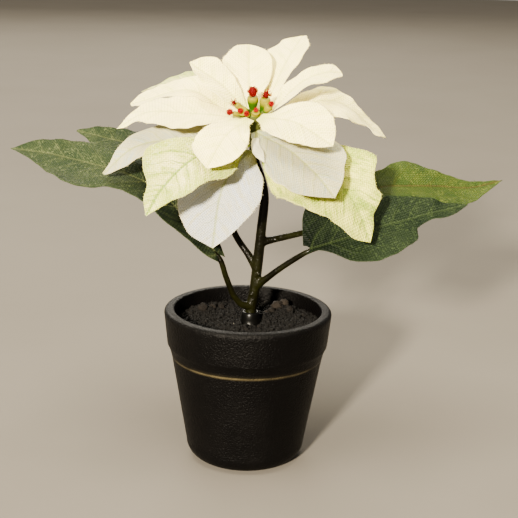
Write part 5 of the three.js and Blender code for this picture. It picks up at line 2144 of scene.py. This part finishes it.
@dataclass
class FlowerHead:
    """The green receptacle under the bracts, its buds and their red tufts."""

    buds: tuple[Bud, ...] = (
        Bud(-1.2, 1.8, 3.1, 8.5, 2.9, (-0.02, 0.05), 2.0, green=0.5),
        Bud(4.2, 1.6, 2.6, 8.6, 2.8, (0.12, 0.02), 1.7, 0.95, green=0.3),
        Bud(5, -1.6, 4.3, 4.8, 2.1, (0.6, -0.1), 0.9, green=0.0),
        Bud(-5.4, 0.6, 3.6, 6.2, 1.7, (-1.1, -0.1), 1.2, 1.0),
        Bud(-6, -3.2, 2.8, 6, 1.3, (-2.2, -0.7), 1.2),
        Bud(-4, -1, 3.8, 4.6, 2.6, (-1.3, -1.4), 0.9),
        Bud(-3, -3.2, 2.8, 2.8, 1.3, (-0.5, -1), 0.9),
        Bud(0.4, -2.8, 2.6, 2.8, 2.2, (0, -0.1), 0.7, green=-0.2),
    )
    profile: tuple[tuple[float, float], ...] = (
        (0, -21), (2.0, -21), (2.4, -20.7), (2.55, -16), (2.8, -12), (3.6, -5), (4.4, -1),
        (4.7, 1.5), (4.3, 2.8), (3.4, 3.6), (1.8, 4.2), (0, 4.4),
    )
    voxel: float = 0.28
    bud_reach: float = 1.35  # how far a bud's colour spreads, in its radii

    def core(self) -> None:
        """Builds the receptacle and its buds as one softly fused moulding."""
        core = lathe("moulded_head", self.profile, 48)
        core.data.transform(to_head())
        parts = [core]
        for i, bud in enumerate(self.buds):
            parts += [bud.cup(f"cup_{i}"), bud.link(f"link_{i}")]
        shape = bmesh.new()
        for part in parts:
            shape.from_mesh(part.data)
        shape.to_mesh(core.data)
        shape.free()
        for part in parts[1:]:
            bpy.data.objects.remove(part)
        fuse(core, self.voxel, 4)
        store(core, "tone", "FLOAT", self.tone(np.array([v.co for v in core.data.vertices])))
        finish_piece(core, Finish.BUDS, "flower_head")

    def tone(self, points: np.ndarray) -> np.ndarray:
        """Finds the tone of each point of the moulding.

        Args:
            points: The points in metres.

        Returns:
            -1 on the receptacle, 0 on a bud's green foot and 1 at its yellow mouth.
        """
        nearest, tone = np.full(len(points), self.bud_reach), np.full(len(points), -1.0)
        for bud in self.buds:
            turn = np.array(bud.place().inverted())
            x, y, z = (points @ turn[:3, :3].T + turn[:3, 3]).T / MM
            away, along = np.hypot(x, y) / bud.radius, z / bud.length
            ripe = np.clip((along - bud.green) / 0.5, 0, 1)
            shade = np.where(along < 0.1, np.clip((along - 0.1) / 0.25, -1, 0), ripe)
            closer = (away < nearest) & (along > -0.15)
            nearest, tone = np.where(closer, away, nearest), np.where(closer, shade, tone)
        return tone

    def tuft_tree(self) -> GeometryTree:
        """Builds the tree that sets stamens on a knob's upper part.

        Returns:
            The tree.
        """
        made = GeometryTree(
            "stamen_tuft",
            {
                "Length": (FLOAT, 0.003),
                "Thickness": (FLOAT, 0.0003),
                "Density": (FLOAT, 3000000.0),
                "Seed": (INTEGER, 1),
            },
        )
        g, source = made.graph, made.source.outputs
        length, thickness = source["Length"], source["Thickness"]
        spread = made.strew(-0.35).outputs
        sides = {
            "Vertices": 5,
            "Radius Top": g.times(thickness, 0.55),
            "Radius Bottom": thickness,
            "Depth": length,
        }
        stalk = g.node("GeometryNodeMeshCone", sides).outputs["Mesh"]
        ball = {"Radius": g.times(thickness, 1.35), "Subdivisions": 1}
        knob = g.node("GeometryNodeMeshIcoSphere", ball).outputs["Mesh"]
        lift = {"Geometry": knob, "Translation": g.join(z=length)}
        stamen = made.joined(stalk, g.node("GeometryNodeTransform", lift).outputs[0])
        _, _, height = g.split(g.node("GeometryNodeInputPosition").outputs[0])
        toned = made.toned(stamen, g.times(g.over(height, length), 0.6), "POINT")
        placed = made.copies(spread["Points"], toned, spread["Rotation"], g.draw(3, 0.65, 1.1))
        made.end(made.joined(source["Geometry"], placed))
        return made

    def tufts(self) -> None:
        """Builds each bud's tuft of stamens."""
        tree = self.tuft_tree()
        for i, bud in enumerate(self.buds, 1):
            made = bud.knob(f"tuft_{i}")
            tree.apply(
                made,
                Finish.STAMENS,
                Length=bud.tuft * bud.spikes * MM,
                Thickness=(0.02 * bud.tuft + 0.04 + 0.13 * bud.spikes) * MM,
                Density=1.3e7 / bud.tuft**2 * (1.4 - bud.spikes),
                Seed=i,
            )
            rise = Matrix.Translation((0, 0, (bud.length + 1.6 * GAP) * MM))
            made.data.transform(bud.place() @ rise)
            finish_piece(made, Finish.STAMENS, f"stamens_{i}")

    def build(self) -> None:
        """Builds the head."""
        self.core()
        self.tufts()


# ---------------------------------------------------------------- studio


@dataclass(frozen=True)
class Lamp:
    """A soft square light. Its place, target and size are in metres, its power in watts."""

    name: str
    place: tuple[float, float, float]
    target: tuple[float, float, float]
    size: float
    power: float
    colour: Colour

    def build(self) -> None:
        """Hangs the light and points it at its target."""
        light = bpy.data.lights.new(self.name, "AREA")
        light.energy, light.size, light.color = self.power, self.size, self.colour
        made = put(self.name, light)
        made.location = self.place
        way = Vector(self.target) - Vector(self.place)
        made.rotation_euler = way.to_track_quat("-Z", "Y").to_euler()


@dataclass
class Studio:
    """The pale floor, the soft lights and the camera. Its lengths are in metres."""

    eye: tuple[float, float, float] = (0.0, -0.64, 0.29)
    pan: float = 0.46
    tilt: float = -15.58
    roll: float = 1.57
    lens: float = 86.75  # the focal length and the sensor are in millimetres
    sensor: float = 36.0
    floor_size: float = 8.0
    room_colour: Colour = (0.9, 0.85, 0.75)
    room_strength: float = 0.5
    lamps: tuple[Lamp, ...] = (
        Lamp("key", (-1.0, -3.1, 1.25), (0.0, 0.0, 0.13), 0.25, 980.0, (1.0, 0.88, 0.69)),
        Lamp("overhead", (-0.2, -0.5, 2.6), (0.0, 0.0, 0.1), 1.8, 230.0, (1.0, 0.9, 0.72)),
        Lamp("back_fill", (-0.4, 2.2, 1.5), (0.0, 0.0, 0.13), 1.5, 85.0, (1.0, 0.92, 0.78)),
    )

    def floor(self) -> None:
        """Lays the floor under the pot."""
        half = self.floor_size / 2 / MM
        corners = [(-half, -half, 0), (half, -half, 0), (half, half, 0), (-half, half, 0)]
        made = new_object("pale_floor_sheet", np.array(corners), [(0, 1, 2, 3)])
        made.data.materials.append(Finish.FLOOR.material())

    def camera(self) -> None:
        """Sets the camera."""
        pan, tilt, roll = (math.radians(angle) for angle in (self.pan, self.tilt, self.roll))
        level = math.cos(tilt)
        forward = Vector((math.sin(pan) * level, math.cos(pan) * level, math.sin(tilt)))
        right = Vector((math.cos(pan), -math.sin(pan), 0))
        up = right.cross(forward)
        x = math.cos(roll) * right + math.sin(roll) * up
        y = -math.sin(roll) * right + math.cos(roll) * up
        turn = Matrix((x, y, -forward)).transposed().to_4x4()
        data = bpy.data.cameras.new("front_camera")
        data.lens, data.sensor_width = self.lens, self.sensor
        made = put("front_camera", data)
        made.matrix_world = Matrix.Translation(self.eye) @ turn
        bpy.context.scene.camera = made

    def room(self) -> None:
        """Sets the plain light that comes from all round."""
        world = bpy.data.worlds.new("soft_room")
        world.use_nodes = True
        inputs = world.node_tree.nodes["Background"].inputs
        inputs["Color"].default_value = (*self.room_colour, 1.0)
        inputs["Strength"].default_value = self.room_strength
        bpy.context.scene.world = world

    def build(self) -> None:
        """Sets the stage."""
        self.camera()
        self.floor()
        for lamp in self.lamps:
            lamp.build()
        self.room()


def main() -> None:
    """Builds the plant piece by piece and notes its size."""
    logging.basicConfig(level=logging.INFO, format="%(name)s %(message)s")
    Studio().build()
    pot = PlantPot()
    pot.build()
    Soil(pot).build()
    GlueCollar().build()
    Stem().build()
    blades = (*INNER_BRACTS, *MIDDLE_BRACTS, *OUTER_BRACTS, *LEAVES)
    for blade in blades:
        blade.build()
    for finish in dict.fromkeys(blade.finish for blade in blades):
        Fray([blade for blade in blades if blade.finish is finish], np.array(CAD_BOX) / MM).build()
    FlowerHead().build()
    shown = [o for o in bpy.data.objects if o.type == "MESH" and not o.hide_render]
    LOG.info("shown triangles: %d", sum(map(triangle_count, shown)))


if __name__ == "__main__":
    main()
